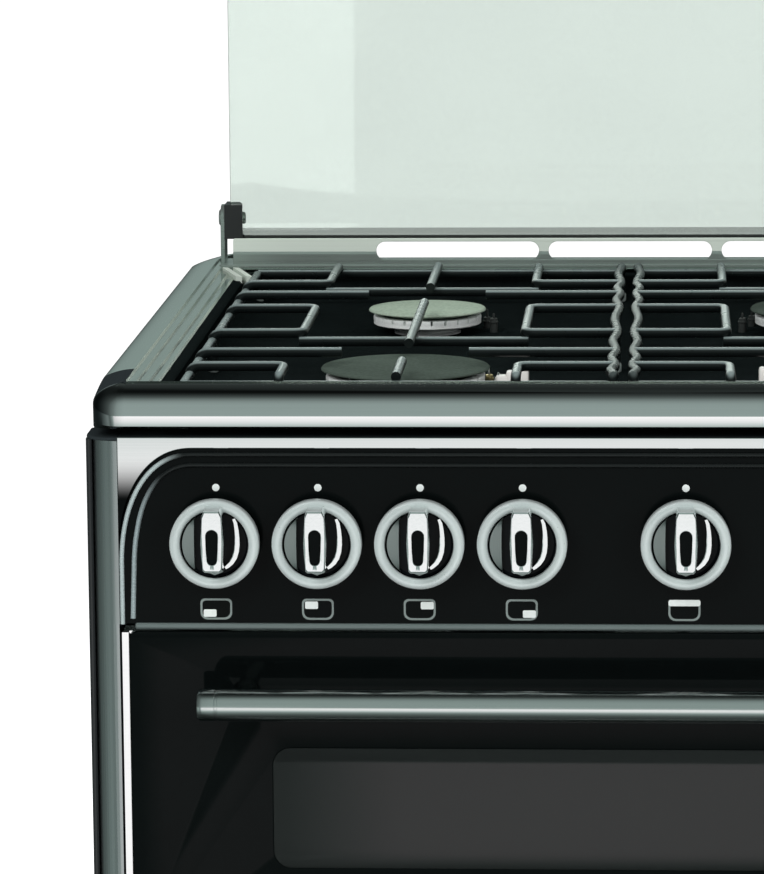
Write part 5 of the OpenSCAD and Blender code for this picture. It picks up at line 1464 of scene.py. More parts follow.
@dataclass
class HobTop:
    """Pressed steel surround: a rolled front bar, stepped side rails and a rear deck."""

    front_r: float = 17.0
    under_r: float = 5.0
    side_r: float = 2.5
    crown_r: float = 40.0
    corner_r: float = 15.0
    corner_share: float = 0.5
    corner_x: float = 276.5
    crown_turn: float = 71.0
    bend_turn: float = 64.0
    crown_end: float = 88.5
    rise: float = 1.9
    rise_end: float = 17.0
    rear_l: float = 38.0
    rear_in: float = 11.0
    band: float = 18.0
    step: float = 5.0
    drop: float = 1.5
    well_half: float = 261.5
    front_well: float = 22.0
    blend_l: float = 64.0
    sheet: float = 1.2
    deck_drop: float = 3.0

    def __post_init__(self) -> None:
        """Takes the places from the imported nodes."""
        self.box = Extent.of("hob_surround")
        self.rim0 = self.box.z1 - 25.0
        self.side_w = self.box.x1 - self.well_half
        self.well_back = Extent.of("rear_vent_trim").y0 - 2.0

    def side_edge(self) -> list[Flat]:
        """Outer edge of a rail: a tight bend that opens into a broad crown, as (distance in, height)."""
        r, big, low, high = self.side_r, self.crown_r, self.bend_turn, self.crown_end
        c, s = direction(low)
        u_c = r * (1 - c) + big * c
        z_c = self.box.z1 - big * direction(high)[1]
        z_r = z_c + big * s - r * s
        bend = [(r - x, z) for x, z in arc(0, z_r, r, 0, low, 4)]
        return bend[:-1] + [(u_c - x, z) for x, z in arc(0, z_c, big, low, high, 8)]

    def corner_edge(self) -> list[Flat]:
        """Outer edge of a rail where it meets the front corner."""
        r, z_c = self.front_r, self.crown_z()
        return [(r - x, z) for x, z in arc(0, z_c, r, 0, self.crown_turn, 12)]

    def crown_z(self) -> float:
        """Height of the centre of the front bar's rounding."""
        return self.box.z1 - self.rise - self.front_r * direction(self.crown_turn)[1]

    def side_profile(self, share: float = 0.0, edge: float = 0.0) -> list[Flat]:
        """Cross-section of a side rail as (distance in from the side, height).

        Args:
            share: How far the front corner's rounding has taken over, from 0 to 1.
            edge: How far the outer edge itself lies in from the full width.

        Returns:
            Points from the skirt's foot to the well's edge.
        """
        top, d, s, w = self.box.z1, self.drop, self.step, self.side_w
        pairs = zip(self.side_edge(), self.corner_edge())
        outer = [(edge + blend(a, c, share), blend(b, e, share)) for (a, b), (c, e) in pairs]
        points = [(edge, self.rim0), (edge, self.rim0 + 3.0), *outer]
        steps = [(self.band, 0), (self.band + 0.9, d), (self.band + s, d), (self.band + s + 0.9, 2 * d)]
        steps += [(blend(self.band + s, w - 5, 0.5), 2 * d), (w - 5.0, 2 * d), (w - 4.0, 3 * d)]
        steps += [(w - 1.0, 3 * d), (w, 3 * d + 1.2), (w, 6.0)]
        last, height = outer[-1]
        for u, fall in steps:
            points.append((max(u, last + 0.1), min(top - fall, height if u < last + 2 else top)))
        return points

    def front_profile(self) -> list[Flat]:
        """Cross-section of the front bar as (distance in from the front, height)."""
        top, q, w = self.box.z1, self.under_r, self.front_well
        points = [(q - x, z) for x, z in arc(0, self.rim0 + q, q, -72, -38, 1)]
        points += self.corner_edge()
        u, z = points[-1]
        points += [(blend(u, self.rise_end, 0.5), blend(z, top, 0.5)), (self.rise_end, top)]
        fall = [(0.12, 0.9), (0.25, 1.6), (0.4, 2.4), (0.55, 3.1), (0.7, 3.8), (0.85, 4.5)]
        fall += [(1.0, 5.0), (1.0, 6.0)]
        return points + [(blend(self.rise_end, w, share), top - down) for share, down in fall]

    def build(self) -> None:
        """Makes the surround as one bent sheet with its rear deck."""
        b = self.box
        rings: list[list[Point]] = []
        x_side, y_front = b.x1, b.y0
        for y in self.rear_places():
            rings.append([(x_side - u, y, z) for u, z in self.side_profile(0.0, self.rear_edge(y))])
        corner = x_side - self.corner_r
        for i in range(1, 15):
            y = y_front + blend(self.blend_l, self.corner_r, i / 14)
            profile = self.side_profile(self.corner_share * (i / 14) ** 1.5)
            rings.append([(x_side - u, y, z) for u, z in profile])
        side, front = self.side_profile(self.corner_share), self.front_profile()
        rings += [self.corner_ring(i / 16, side, front) for i in range(1, 16)]
        for x in (corner, self.corner_x, corner * 0.5, 0.0):
            inner = min(x, self.well_half)
            rings.append([(inner if u > self.corner_r else x, y_front + u, z) for u, z in front])
        shape = Shape()
        shape.loft(rings, closed=False)
        self.mark_front(shape)
        shape.mirrored()
        bmesh.ops.remove_doubles(shape.bm, verts=shape.bm.verts, dist=0.01)
        shape.thicken(self.sheet, Vector((0, 0, 1)))
        for vert in shape.bm.verts:
            vert.co.y = min(vert.co.y, b.y1)
        self.deck(shape)
        piece = Piece.of("hob_surround", "brushed_steel")
        mesh = shape.mesh("hob_surround", sharp=28.0)
        piece.show(mesh, Coat.BRUSHED, Coat.POLISHED, Coat.HEM, Coat.CORNER, Coat.RAIL, Coat.SHOULDER)

    def corner_ring(self, share: float, side: Sequence[Flat], front: Sequence[Flat]) -> list[Point]:
        """Cross-section of the sheet a share of the way round the front corner."""
        x, y = self.box.x1 - self.corner_r, self.box.y0 + self.corner_r
        c, s = direction(-90 * share)
        span = blend(self.side_w, self.front_well, share) - self.corner_r
        ring = []
        for (us, zs), (uf, zf) in zip(side, front):
            u, z = blend(us, uf, share), blend(zs, zf, share * share * (3 - 2 * share))
            reach = self.corner_r - u
            if reach >= 0:
                ring.append((x + reach * c, y + reach * s, z))
            else:
                part = -reach / span
                inner = (self.well_half, self.box.y0 + self.front_well)
                ring.append((blend(x, inner[0], part), blend(y, inner[1], part), z))
        return ring

    def rear_places(self) -> list[float]:
        """Places along the rails from the back to where the front shoulder starts."""
        b = self.box
        curved = [b.y1 - self.rear_l * i / 8 for i in range(9)]
        return curved + [self.well_back, 0.0, b.y0 + self.blend_l]

    def rear_edge(self, y: float) -> float:
        """How far the rail's outer edge has drawn in at a place near the back."""
        return self.rear_in * (max(y - (self.box.y1 - self.rear_l), 0.0) / self.rear_l) ** 1.5

    def mark_front(self, shape: Shape) -> None:
        """Gives the front bar, its corners with painted shade and the rails' crowns their own finishes."""
        limit = self.box.y0 + self.corner_r
        for face in shape.bm.faces:
            middle = face.calc_center_median()
            inside = self.box.x1 - abs(middle.x) - self.rear_edge(middle.y)
            if middle.y < limit:
                face.material_index = 3 if abs(middle.x) > self.corner_x else 1
            elif inside < self.band:
                # The rails' crowns near the front get painted shade.
                face.material_index = 5 if middle.y < self.box.y0 + self.blend_l else 4

    def deck(self, shape: Shape) -> None:
        """Adds the rear deck with its air slots and the skirt at the back."""
        b = self.box
        z = b.z1 - self.deck_drop
        half = b.x1 - self.band + 0.5
        y0, y1 = self.well_back, b.y1 - 0.6
        slots = air_slots(y0 + 15, y0 + 29)
        outline = [(-half, y0), (half, y0), (half, y1), (-half, y1)]
        shape.slab(outline, self.sheet, Plane.TOP.at(z=z - self.sheet), slots, bevel=0.3)
        edge = b.x1 - self.rear_in - self.band
        shape.box((-edge, y1 - self.sheet, self.rim0), (edge, y1, z - 0.2), 0.3)
        profile = self.side_profile(0.0, self.rear_in)
        for side in Side:
            end = [(side.value * (b.x1 - u - 0.4), z - 0.4) for u, z in profile[:-1] if z > self.rim0 + 1]
            end = [(side.value * (b.x1 - self.rear_in - 0.4), self.rim0), *end, (end[-1][0], self.rim0)]
            shape.slab(end, self.sheet, Plane.FRONT.at(y=b.y1), bevel=0.1)
            self.bracket(shape, side.value)

    def bracket(self, shape: Shape, sign: int) -> None:
        """Adds a bracket at a rear corner of the well, in a pale finish that paints a highlight."""
        z = self.box.z1 - self.deck_drop
        for shift in (0.0, 7.0):
            path = [(269 - shift, 246.0), (265 - shift, 236.0), (261 - shift, 226.0), (257.5 - shift, 218.0)]
            rings = []
            for i, (x, y) in enumerate(path):
                low, high = z - 4.0 - 1.2 * i, z + 2.2 - 0.8 * i
                corners = ((-2.2, -1, low), (2, 1, low), (2, 1, high), (-2.2, -1, high))
                rings.append([(sign * (x + p), y + q, h) for p, q, h in corners])
            shape.loft(rings, slot=2)


@dataclass
class Well:
    """Pressed black well with rounded corners and a low rim round each burner."""

    corner: float = 24.0
    fillet: float = 9.0
    sheet: float = 1.2

    def __post_init__(self) -> None:
        """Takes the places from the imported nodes."""
        self.box = Extent.of("hob_well")
        self.floor = self.box.z0 + self.sheet
        self.half = self.box.x1 - 8.0
        self.y0 = self.box.y0 + 8.0
        self.y1 = self.box.y1 - 8.0

    def ring(self, inset: float, z: float) -> list[Point]:
        """Rounded rectangle at a height, set in from the well's walls."""
        r = max(self.corner - inset, 2.0)
        flat = rounded(-self.half + inset, self.y0 + inset, self.half - inset, self.y1 - inset, r, 8)
        return lifted(flat, z)

    def build(self, burners: "Burners") -> None:
        """Makes the well.

        Args:
            burners: Gives the places of the holes and rims.
        """
        top, f, t = self.box.z1, self.fillet, self.sheet
        shape = Shape()
        outer = [self.ring(-7.5, top - 0.3), self.ring(0.6, top - 0.3), self.ring(2.2, top - 1.6)]
        for a in (0.0, 0.35, 0.7, 1.05, 1.35, math.pi / 2):
            outer.append(self.ring(3.0 + f - f * math.cos(a), self.floor + f - f * math.sin(a)))
        inner = [[(x, y, z - t) for x, y, z in ring] for ring in reversed(outer)]
        shape.loft(outer + inner, loop=True)
        edge = 3.0 + f
        flat = [(x, y) for x, y, _ in self.ring(edge, 0)]
        holes = [circle(17.3, x, y, 32) for x, y, _ in burners.places]
        holes += [circle(2.8, *burners.probe(i, a), 12) for i in range(4) for a in (0.0, burners.probe_turn)]
        shape.slab(flat, t, Plane.TOP.at(z=self.floor - t), holes, bevel=0.05)
        for x, y, r in burners.places:
            rim = [(r + 9, 0), (r + 10, 0.45), (r + 11.5, 0.6), (r + 13, 0.45), (r + 14, 0)]
            shape.lathe(rim, Matrix.Translation((x, y, self.floor - 0.02)), 64)
        piece = Piece.of("hob_well", "black_enamel")
        piece.show(shape.mesh("hob_well", sharp=40), Coat.ENAMEL)


@dataclass
class Burners:
    """Four burners: a cast crown with flame ports, an enamelled cap, a spark electrode and a probe."""

    radii: tuple[float, ...] = (49.0, 37.0, 50.0, 27.0)
    crown_h: float = 9.8
    cap_t: float = 5.0
    port_h: float = 3.0
    ports: int = 24
    probe_gap: float = 5.0
    probe_turn: float = 28.0

    def __post_init__(self) -> None:
        """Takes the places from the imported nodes."""
        caps = Extent.of("burner_caps")
        heads = Extent.of("burner_heads")
        self.z0 = heads.z0
        self.cap_z = caps.z0
        left = caps.x0 + self.radii[0]
        right = caps.x1 - self.radii[2]
        front = caps.y0 + self.radii[0]
        back = caps.y1 - self.radii[2]
        spots = ((left, front), (left, back), (right, back), (right, front))
        self.places = [(x, y, r) for (x, y), r in zip(spots, self.radii)]

    def probe(self, index: int, turn: float) -> Flat:
        """Place of a burner's spark electrode or flame probe."""
        x, y, r = self.places[index]
        sign = 1 if x < 0 else -1
        a = math.radians(turn)
        reach = r + self.probe_gap
        return x + sign * reach * math.cos(a), y + reach * math.sin(a)

    def build(self, ring: Ring) -> None:
        """Makes crowns, caps, electrodes and probes.

        Args:
            ring: Tree that sets the crown's teeth round it.
        """
        self.crowns(ring)
        self.caps()
        self.pins()

    def crowns(self, ring: Ring) -> None:
        """Makes the four crowns as one piece."""
        shape = Shape()
        for x, y, size in self.places:
            r = size - 3
            h = self.crown_h
            floor = h - self.port_h
            low = [(6, 0), (19.2, 0), (20, 1.0), (20, 2.4), (r - 1.2, 4.0), (r, 4.8)]
            low += [(r, floor), (r - 8, floor), (6, floor - 0.4), (6, 0)]
            at = Matrix.Translation((x, y, self.z0))
            shape.lathe(low, at, 72)
            count = self.ports if size > 30 else self.ports * 2 // 3
            gap = 1.6
            width = 2 * math.pi * r / count - gap
            tooth = Shape().box((r - 6.5, -width / 2, floor - 0.2), (r, width / 2, h - 0.05), 0.4)
            mesh = ring.bake(tooth.mesh("tooth"), Coat.CROWN, Count=count)
            mesh.transform(Matrix.Translation(Vector((x, y, self.z0)) * MM))
            mesh.transform(Matrix.Scale(1 / MM, 4))
            shape.join(mesh)
        piece = Piece("burner_crowns", CABINET, "burner_alloy", ("burner_heads",))
        piece.show(shape.mesh("burner_crowns"), Coat.CROWN)

    def caps(self) -> None:
        """Makes the four caps as one piece."""
        shape = Shape()
        for i, (x, y, r) in enumerate(self.places):
            t = self.cap_t
            profile = [(0.01, 0), (r - 12, 0), (r - 8, 1.0), (r - 1.0, 2.6), (r, 3.0), (r, 3.6)]
            profile += [(r - 0.7, t - 0.6), (r - 4.0, t - 0.3), (r - 7.0, t - 0.2), (r - 7.8, t - 0.35)]
            profile += [(r - 8.6, t - 0.3), (r - 11, t - 0.05), (r * 0.4, t), (0.01, t)]
            # The rear left cap gets the lighter copy: painted highlight.
            shape.lathe(profile, Matrix.Translation((x, y, self.cap_z)), 96, slot=1 if i == 1 else 0)
        piece = Piece.of("burner_caps", "cap_enamel")
        piece.show(shape.mesh("burner_caps"), Coat.CAP_DARK, Coat.CAP_PAINTED_LIGHT)

    def clip(self, shape: Shape, x: float, y: float, top: float) -> None:
        """Adds the pale block that holds a front burner's electrode."""
        side = 1 if x < 0 else -1
        for reach, low, high in ((2.0, -12, -1.5), (8.0, -9, 1.0), (14.0, -12, 3.0)):
            middle = x + side * reach
            shape.box((middle - 3.6, y - 4.2, top + low), (middle + 3.6, y + 4.2, top + high), 1.6)

    def pins(self) -> None:
        """Makes the spark electrodes and the flame probes."""
        kinds = (("spark_electrodes", 0.0, "ceramic"), ("flame_sensors", self.probe_turn, "brass"))
        for node, turn, slot in kinds:
            box = Extent.of(node)
            shape = Shape()
            for i in range(4):
                at = Matrix.Translation((*self.probe(i, turn), 0))
                top = box.z1 - (3.0 if turn == 0 else 5.0)
                body = [(0.01, box.z0), (2.2, box.z0), (2.5, box.z0 + 0.5), (2.5, top - 3.4)]
                body += [(2.9, top - 3.0), (2.9, top - 2.2), (2.4, top - 1.8), (2.2, top - 0.3)]
                body += [(1.6, top), (0.01, top)]
                # The rear burners' pins get the dark finish.
                shape.lathe(body, at, 24, slot=2 if i in (1, 2) else 0)
                tip = [(0.01, top - 0.5), (0.8, top - 0.5), (0.8, box.z1 - 0.6)]
                tip += [(0.4, box.z1), (0.01, box.z1)]
                shape.lathe(tip, at, 16, slot=2 if i in (1, 2) else 1)
                if turn == 0 and i in (0, 3):
                    self.clip(shape, *self.probe(i, 0.0), box.z1)
            piece = Piece.of(node, slot)
            first = Coat.CERAMIC if turn == 0 else Coat.BRASS
            piece.show(shape.mesh(node), first, Coat.WIRE, Coat.SOOTED)


@dataclass
class PanSupport:
    """One half of the wire pan supports, bent from round rod and welded."""

    side: Side
    burners: Burners
    rod: float = 2.9
    centre: float = 6.0
    narrow: float = 5.0
    wide: float = 7.2
    outer: float = 247.0
    inner_x: float = 60.0
    outer_x: float = 193.0
    gap: float = 37.0
    bend: float = 6.0

    def __post_init__(self) -> None:
        """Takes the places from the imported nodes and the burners."""
        self.node = f"pan_support_{self.side.name.lower()}"
        self.box = Extent.of(self.node)
        self.upper = self.box.z1 - 3.0
        self.lower = self.upper - 5.1
        self.foot = self.box.z0 + 2.0
        self.front, self.back = self.box.y0 + 3.0, self.box.y1 - 3.0
        self.ya, self.yb = self.burners.places[0][1], self.burners.places[1][1]
        self.near, self.mid0, self.mid1, self.far = self.ya - 55, self.ya + 80, self.yb - 63, self.yb + 53
        self.bx = abs(self.burners.places[0][0])

    def build(self, rods: Rods) -> None:
        """Makes the support and its feet.

        Args:
            rods: Tree that makes round rods.
        """
        sign = self.side.value
        shape = Shape()
        # The spine gets the darker rod copy: painted shade.
        for slot, paths, finish in ((0, self.wires(), Coat.ROD), (2, [self.spine()], Coat.ROD_DULL)):
            signed = [[(sign * x, y, z) for x, y, z in path] for path in paths]
            mesh = rods.run(signed, self.rod, finish, self.bend)
            mesh.transform(Matrix.Scale(1 / MM, 4))
            shape.join(mesh, slot)
        tip = [(0.01, 0), (2.6, 0), (3.4, 0.8), (3.4, 5.0), (3.0, 5.8), (0.01, 5.8)]
        for x in (self.centre, self.outer):
            for y in (self.front, self.mid0, self.back):
                shape.lathe(tip, Matrix.Translation((sign * x, y, self.box.z0)), 20, slot=1)
        piece = Piece.of(self.node, "cast_black", f"support_{self.side.name.lower()}")
        mesh = shape.mesh(self.node, outwards=False, sharp=50)
        piece.show(mesh, Coat.ROD, Coat.ROD_TIP, Coat.ROD_DULL)

    def spine(self) -> list[Point]:
        """The inner rod, which swings out between the rods that are welded to it."""
        rows = (self.front, self.near, self.ya, self.mid0, self.mid1, self.yb, self.far, self.back)
        points = [(self.centre, self.front, self.foot), (self.centre, self.front, self.upper)]
        for y0, y1 in zip(rows, rows[1:]):
            for k in range(1, 12):
                swing = 0.5 - 0.5 * math.cos(2 * math.pi * k / 12)
                x = blend(self.narrow, self.wide, swing)
                points.append((x, blend(y0 + 2, y1 - 2, k / 12), self.upper))
        return points + [(self.centre, self.back, self.upper), (self.centre, self.back, self.foot)]

    def wires(self) -> list[list[Point]]:
        """Corner points of the other rods: the outer rail, the fingers, the bars and the legs."""
        upper, lower, foot = self.upper, self.lower, self.foot
        rail = ((self.front, foot), (self.front, lower), (self.back, lower), (self.back, foot))
        paths = [[(self.outer, y, z) for y, z in rail]]
        for x, top in ((self.centre, upper), (self.outer, lower)):
            paths.append([(x, self.mid0, foot), (x, self.mid0, top)])
        for end, join in ((self.front, self.near), (self.mid0, self.mid1), (self.back, self.far)):
            inside = [(self.centre, join, upper), (self.inner_x, join, upper), (self.inner_x, end, upper)]
            outside = [(self.outer, join, lower), (self.outer, join, upper)]
            outside += [(self.outer_x, join, upper), (self.outer_x, end, upper)]
            if end == self.mid0:
                inside.append((self.centre, end, upper))
                outside += [(self.outer, end, upper), (self.outer, end, lower)]
            else:
                inside.append((self.inner_x, end, lower))
                outside.append((self.outer_x, end, lower))
            paths += [inside, outside]
        for y in (self.mid0, self.far):
            paths.append([(self.inner_x - 2, y, lower), (self.outer_x + 2, y, lower)])
        for y in (self.front, self.back):
            paths.append([(self.centre, y, lower), (self.outer, y, lower)])
        stops = [self.front]
        for y in (self.ya, self.yb):
            paths.append([(self.centre, y, upper), (self.bx - self.gap, y, upper)])
            paths.append([(self.bx + self.gap, y, upper), (self.outer, y, upper), (self.outer, y, lower)])
            stops += [y - self.gap, y + self.gap]
        stops.append(self.back)
        for y0, y1 in zip(stops[::2], stops[1::2]):
            paths.append([(self.bx, y0, upper), (self.bx, y1, upper)])
        return paths


@dataclass
class RearTrim:
    """Slotted steel trim behind the well, with the ears and pins that carry the lid."""

    slot_l: float = 108.5
    slot_h: float = 12.0
    post: float = 6.5
    slot_edge: float = 2.3
    lean: float = 0.2
    hem: float = 8.8
    inset: float = 3.0
    sheet: float = 2.0
    end_gap: float = 9.2
    crease_h: float = 9.0
    ear_t: float = 3.0
    ear_r: float = 9.0

    def build(self) -> None:
        """Makes the trim."""
        box = Extent.of("rear_vent_trim")
        lid = Extent.of("lid_glass")
        top = lid.z0 - 0.5
        half = box.x1 - self.end_gap
        pitch = self.slot_l + self.post
        holes = []
        for i in (-1, 0, 1):
            c, high = i * pitch, top - self.slot_edge
            holes.append(rounded(c - self.slot_l / 2, high - self.slot_h, c + self.slot_l / 2, high, 5.9, 8))
        shape = Shape()
        edge = rounded(-half, box.z0 + 0.5, half, top, 1.5, 4)
        shape.slab(edge, 1.6, Plane.FRONT.at(y=box.y0 + 1.8 + self.inset), holes, bevel=0.4)
        crease = box.z0 + self.crease_h
        for z in (crease, top - self.hem):
            cut = list(shape.bm.verts) + list(shape.bm.edges) + list(shape.bm.faces)
            bmesh.ops.bisect_plane(shape.bm, geom=cut, plane_co=(0, 0, z), plane_no=(0, 0, 1))
        for vert in shape.bm.verts:
            vert.co.y += max(min(vert.co.z, top - self.hem) - crease, 0.0) * self.lean
        # The top hem gets a pale finish that paints a highlight.
        for face in shape.bm.faces:
            if face.calc_center_median().z > top - self.hem:
                face.material_index = 1
        y_axis, z_axis = self.axis(lid)
        slots = air_slots(y_axis - 9, y_axis + 5)
        foot = rounded(box.x0, box.y0, box.x1, box.y1, 2.0, 4)
        shape.slab(foot, self.sheet, Plane.TOP.at(z=box.z0), slots, bevel=0.4)
        self.ears(shape, box, y_axis, z_axis)
        piece = Piece.of("rear_vent_trim", "brushed_steel")
        piece.show(shape.mesh("rear_vent_trim", flat=30.0), Coat.TRIM, Coat.HEM)

    def ears(self, shape: Shape, box: Extent, y: float, z: float) -> None:
        """Adds the ears at the trim's ends, with the pins that the lid turns on.

        Args:
            shape: Mesh that gets the ears.
            box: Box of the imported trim.
            y: Place of the lid's pivot.
            z: Height of the lid's pivot.
        """
        both = Shape()
        ear = [(y - self.ear_r, box.z0), (y + self.ear_r, box.z0)] + arc(y, z, self.ear_r, 0, 180, 12)
        both.slab(ear, self.ear_t, Plane.SIDE.at(x=box.x1 - self.ear_t), bevel=0.5)
        pin = [(0.01, 0), (4, 0), (4, 14.6), (3.4, 15.2), (0.01, 15.2)]
        head = [(0.01, 0), (5.5, 0), (5.5, 1.0), (4.6, 1.8), (0.01, 2.0)]
        for profile, x, turn in ((pin, box.x1 - 2.8, -math.pi / 2), (head, box.x1 - 0.3, math.pi / 2)):
            both.lathe(profile, Matrix.Translation((x, y, z)) @ Matrix.Rotation(turn, 4, "Y"), 32)
        both.mirrored()
        shape.add(both.bm)

    @staticmethod
    def axis(lid: Extent) -> Flat:
        """Place of the lid's pivot as (y, z), from the glass's lower front corner."""
        return lid.y0 + 12.0, lid.z0 + 11.7


@dataclass
class Lid:
    """Raised glass lid with ground edges and its two hinge blocks."""

    radius: float = 9.0
    edge: float = 1.2

    def build(self) -> None:
        """Makes the glass and the blocks."""
        box = Extent.of("lid_glass")
        shape = Shape()
        outline = rounded(box.x0, box.z0, box.x1, box.z1, self.radius, 8)
        shape.slab(outline, box.y1 - box.y0, Plane.FRONT.at(y=box.y1), bevel=self.edge)
        # Dark strip along the glass's lower edge.
        low = (box.x0 + 2.0, box.y0 - 0.7, box.z0 - 1.5)
        shape.box(low, (box.x1 - 2.0, box.y1 + 0.7, box.z0 + 1.1), 0.5, slot=1)
        piece = Piece.of("lid_glass", "tinted_glass", "lid")
        piece.show(shape.mesh("lid_glass"), Coat.LID, Coat.LID_EDGE)
        dress(Coat.NYLON, "lid_hinge_blocks")


@dataclass
class Door:
    """A drop-down door: black printed glass with a window, and a bar handle."""

    name: str
    margin: float = 55.0
    stud_r: float = 3.6
    bar_r: float = 9.0
    post_r: float = 7.0
    post_half: float = 210.0
    top_margin: float = 34.0

    def build(self) -> None:
        """Makes the glass and the handle, and dresses the shell."""
        glass = Extent.of(f"{self.name}_panel")
        bar = Extent.of(f"{self.name}_handle")
        z = glass.z1 - self.top_margin
        shape = Shape()
        outline = rounded(glass.x0, glass.z0, glass.x1, glass.z1, 3.0, 5)
        holes = [circle(self.stud_r, s * self.post_half, z, 20) for s in (-1, 1)]
        window = rounded(glass.x0 + 80, glass.z0 + self.margin, glass.x1 - 80, z - 32, 10.0, 8)
        place = Plane.FRONT.at(y=glass.y1)
        shape.slab(outline, glass.y1 - glass.y0, place, [*holes, window], bevel=0.8)
        shape.slab(window, glass.y1 - glass.y0 - 0.1, place, bevel=0.05, slot=1)
        piece = Piece(f"{self.name}_glass_dressed", self.name, "black_glass", (f"{self.name}_panel",))
        piece.show(shape.mesh(f"{self.name}_glass"), Coat.DOOR_GLASS, Coat.WINDOW)
        self.handle(bar, glass, z)
        dress(Coat.POLISHED, f"{self.name}_liner")
        dress(Coat.CLEAR, f"{self.name}_glass")

    def handle(self, bar: Extent, glass: Extent, z: float) -> None:
        """Makes the bar with domed ends and flared posts."""
        r, y = self.bar_r, bar.y0 + self.bar_r
        length = bar.x1 - bar.x0
        profile = [(0.01, 0), (r - 3.0, 0), (r - 1.2, 0.5), (r - 0.3, 1.6), (r, 3.2)]
        profile += [(r, 10.0), (r - 0.4, 10.4), (r - 0.4, 11.4), (r, 11.8)]
        profile += [(h_r, length - h) for h_r, h in reversed(profile)]
        shape = Shape()
        shape.lathe(profile, Matrix.Translation((bar.x0, y, z)) @ Matrix.Rotation(math.pi / 2, 4, "Y"), 48)
        p, reach = self.post_r, glass.y0 - y
        post = [(0.01, r - 4), (p, r - 4), (p - 0.6, r + 1), (p - 1.2, reach * 0.6), (p - 0.8, reach - 4)]
        post += [(p + 0.2, reach - 1.2), (p + 0.4, reach - 0.1), (3.1, reach - 0.1)]
        post += [(3.1, reach + 14), (0.01, reach + 14)]
        for s in (-1, 1):
            turn = Matrix.Translation((s * self.post_half, y, z)) @ Matrix.Rotation(-math.pi / 2, 4, "X")
            shape.lathe(post, turn, 40)
        piece = Piece.of(f"{self.name}_handle", "chrome", self.name)
        piece.show(shape.mesh(f"{self.name}_handle"), Coat.HANDLE)


@dataclass
class Ovens:
    """Oven insides: wire shelves and runners, burners, pan and seals."""

    wire: float = 2.5
    cross_wires: int = 15

    def build(self, rods: Rods) -> None:
        """Makes the wire goods and dresses the rest.

        Args:
            rods: Tree that makes round rods.
        """
        box = Extent.of("oven_shelves")
        runners = Extent.of("shelf_runners")
        top = Extent.of("top_oven_cavity")
        levels = [box.z0 + self.wire, box.z1 - self.wire]
        middle = box.z0 + 380 / 3
        levels.insert(1, middle + self.wire)
        paths: list[list[Point]] = []
        w = self.wire * 0.92
        for z in levels:
            x0, x1, y0, y1 = box.x0 + w, box.x1 - w, box.y0 + w, box.y1 - w
            paths.append([(0, y0, z), (x1, y0, z), (x1, y1, z), (x0, y1, z), (x0, y0, z), (0, y0, z)])
            for i in range(1, self.cross_wires + 1):
                x = blend(x0, x1, i / (self.cross_wires + 1))
                paths.append([(x, y0, z), (x, y1, z)])
        mesh = rods.run(paths, w, Coat.WIRE, bend=8.0, sides=10)
        Piece.of("oven_shelves", "chrome").show(mesh, Coat.WIRE)
        dress(Coat.WIRE, "shelf_runners")
        dress(Coat.OVEN_ENAMEL, "top_oven_cavity", "main_oven_cavity", "grill_pan")
        dress(Coat.BURNER_STEEL, "grill_burner", "oven_burner")
        dress(Coat.CORD, "door_seals")


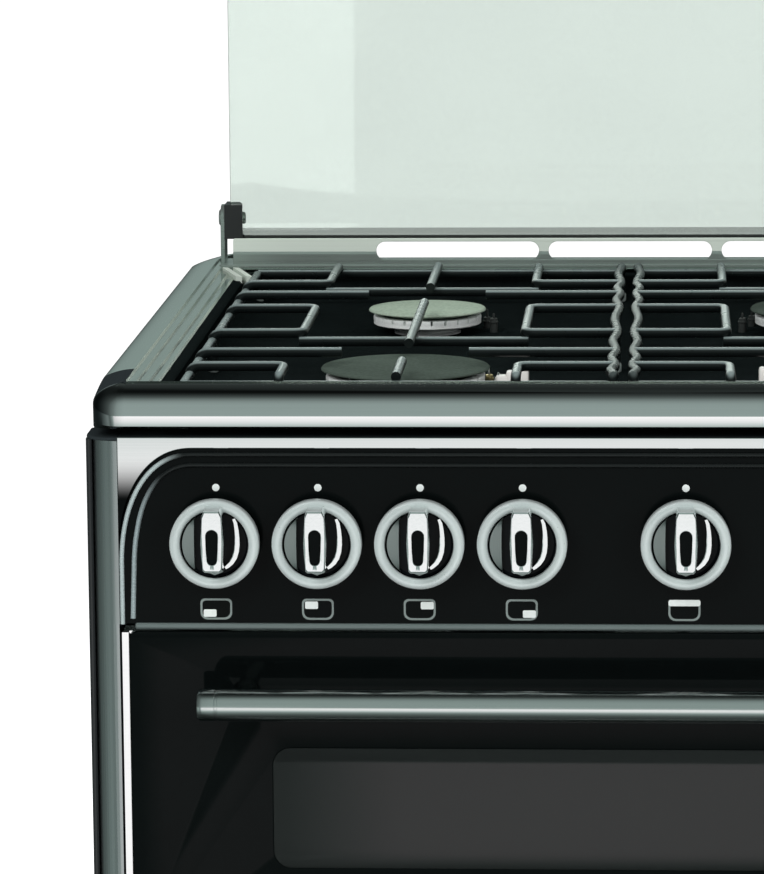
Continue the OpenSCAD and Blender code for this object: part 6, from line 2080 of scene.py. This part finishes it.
@dataclass
class Cabinet:
    """Side sheets, back, tray, kick panel, feet and screws."""

    head_r: float = 4.0
    thread: float = 1.6

    def build(self, scatter: Scatter) -> None:
        """Makes the feet and screws and dresses the sheets.

        Args:
            scatter: Tree that copies the screw to its places.
        """
        dress(Coat.SIDE_ENAMEL, "side_panel_left", "side_panel_right", "plinth")
        dress(Coat.ZINC, "back_panel", "base_tray", "door_hinges", "injector_cups", "gas_rail", "feed_pipes")
        dress(Coat.BRASS, "gas_taps")
        dress(Coat.NYLON, "cable_gland")
        dress(Coat.WIRE, *[f"spindle_{i}" for i in range(1, 7)])
        self.feet()
        self.screws(scatter)

    def feet(self) -> None:
        """Makes the four levelling feet."""
        for place in ("front_left", "front_right", "rear_left", "rear_right"):
            box = Extent.of(f"foot_{place}")
            x, y, _ = box.centre
            r = (box.x1 - box.x0) / 2
            pad = [(0.01, 0), (r - 2, 0), (r - 0.6, 0.5), (r, 1.6), (r, 5.6)]
            pad += [(r - 0.6, 6.6), (r - 2, 7.4), (9, 8), (0.01, 8)]
            at = Matrix.Translation((x, y, 0))
            shape = Shape().lathe(pad, at, 48)
            stem = [(0.01, 7.5)]
            for k in range(int((box.z1 - 9) / self.thread)):
                stem += [(4.95, 8 + self.thread * k), (4.5, 8.8 + self.thread * k)]
            stem += [(4.4, box.z1 - 0.6), (3.8, box.z1), (0.01, box.z1)]
            nut = [(5, 8), (8.2, 8), (8.6, 8.5), (8.6, 12.5), (8.2, 13), (5, 13), (5, 8)]
            shape.lathe(stem, at, 24, slot=1)
            shape.lathe(nut, at, 6, slot=1)
            piece = Piece.of(f"foot_{place}", "rubber_foot", f"leveller_{place}")
            piece.show(shape.mesh(f"foot_{place}"), Coat.RUBBER, Coat.WIRE)

    def screws(self, scatter: Scatter) -> None:
        """Makes the back's cross-head screws."""
        box = Extent.of("screws")
        r = self.head_r
        head = Shape()
        dome = [(0.01, 1.75), (r * 0.5, 1.65), (r * 0.85, 1.2), (r, 0.5), (r, 0)]
        dome += [(2, 0), (2, -6), (0.01, -6.4)]
        head.lathe(dome, Matrix.Rotation(-math.pi / 2, 4, "X"), 24)
        for turn in (0.0, math.pi / 2):
            bar = Shape().box((-2.2, 1.2, -0.45), (2.2, 1.8, 0.45), 0.15)
            head.add(bar.turned(Matrix.Rotation(turn, 4, "Y")).bm)
        x, z0, z1 = box.x1 - r, box.z0 + r, box.z1 - r
        y = Extent.of("back_panel").y1
        spots = [(s * x, y, blend(z0, z1, i / 3)) for s in (-1, 1) for i in range(4)]
        mesh = scatter.run(head.mesh("screw"), spots, Coat.WIRE, turn=math.pi / 2)
        Piece("back_screws", CABINET, "chrome", ("screws",)).show(mesh, Coat.WIRE)


def main() -> None:
    """Builds the studio and every sub-assembly in order."""
    logging.basicConfig(level=logging.INFO, format="%(name)s %(message)s")
    Studio().build()
    rods, ring, scatter = Rods(), Ring(), Scatter()
    Cabinet().build(scatter)
    FrontFrame().build()
    Fascia().build()
    for number in range(1, 7):
        Knob().build(number)
    HobTop().build()
    burners = Burners()
    Well().build(burners)
    burners.build(ring)
    for side in Side:
        PanSupport(side, burners).build(rods)
    RearTrim().build()
    Lid().build()
    for name in ("top_door", "main_door"):
        Door(name).build()
    Ovens().build(rods)


if __name__ == "__main__":
    main()
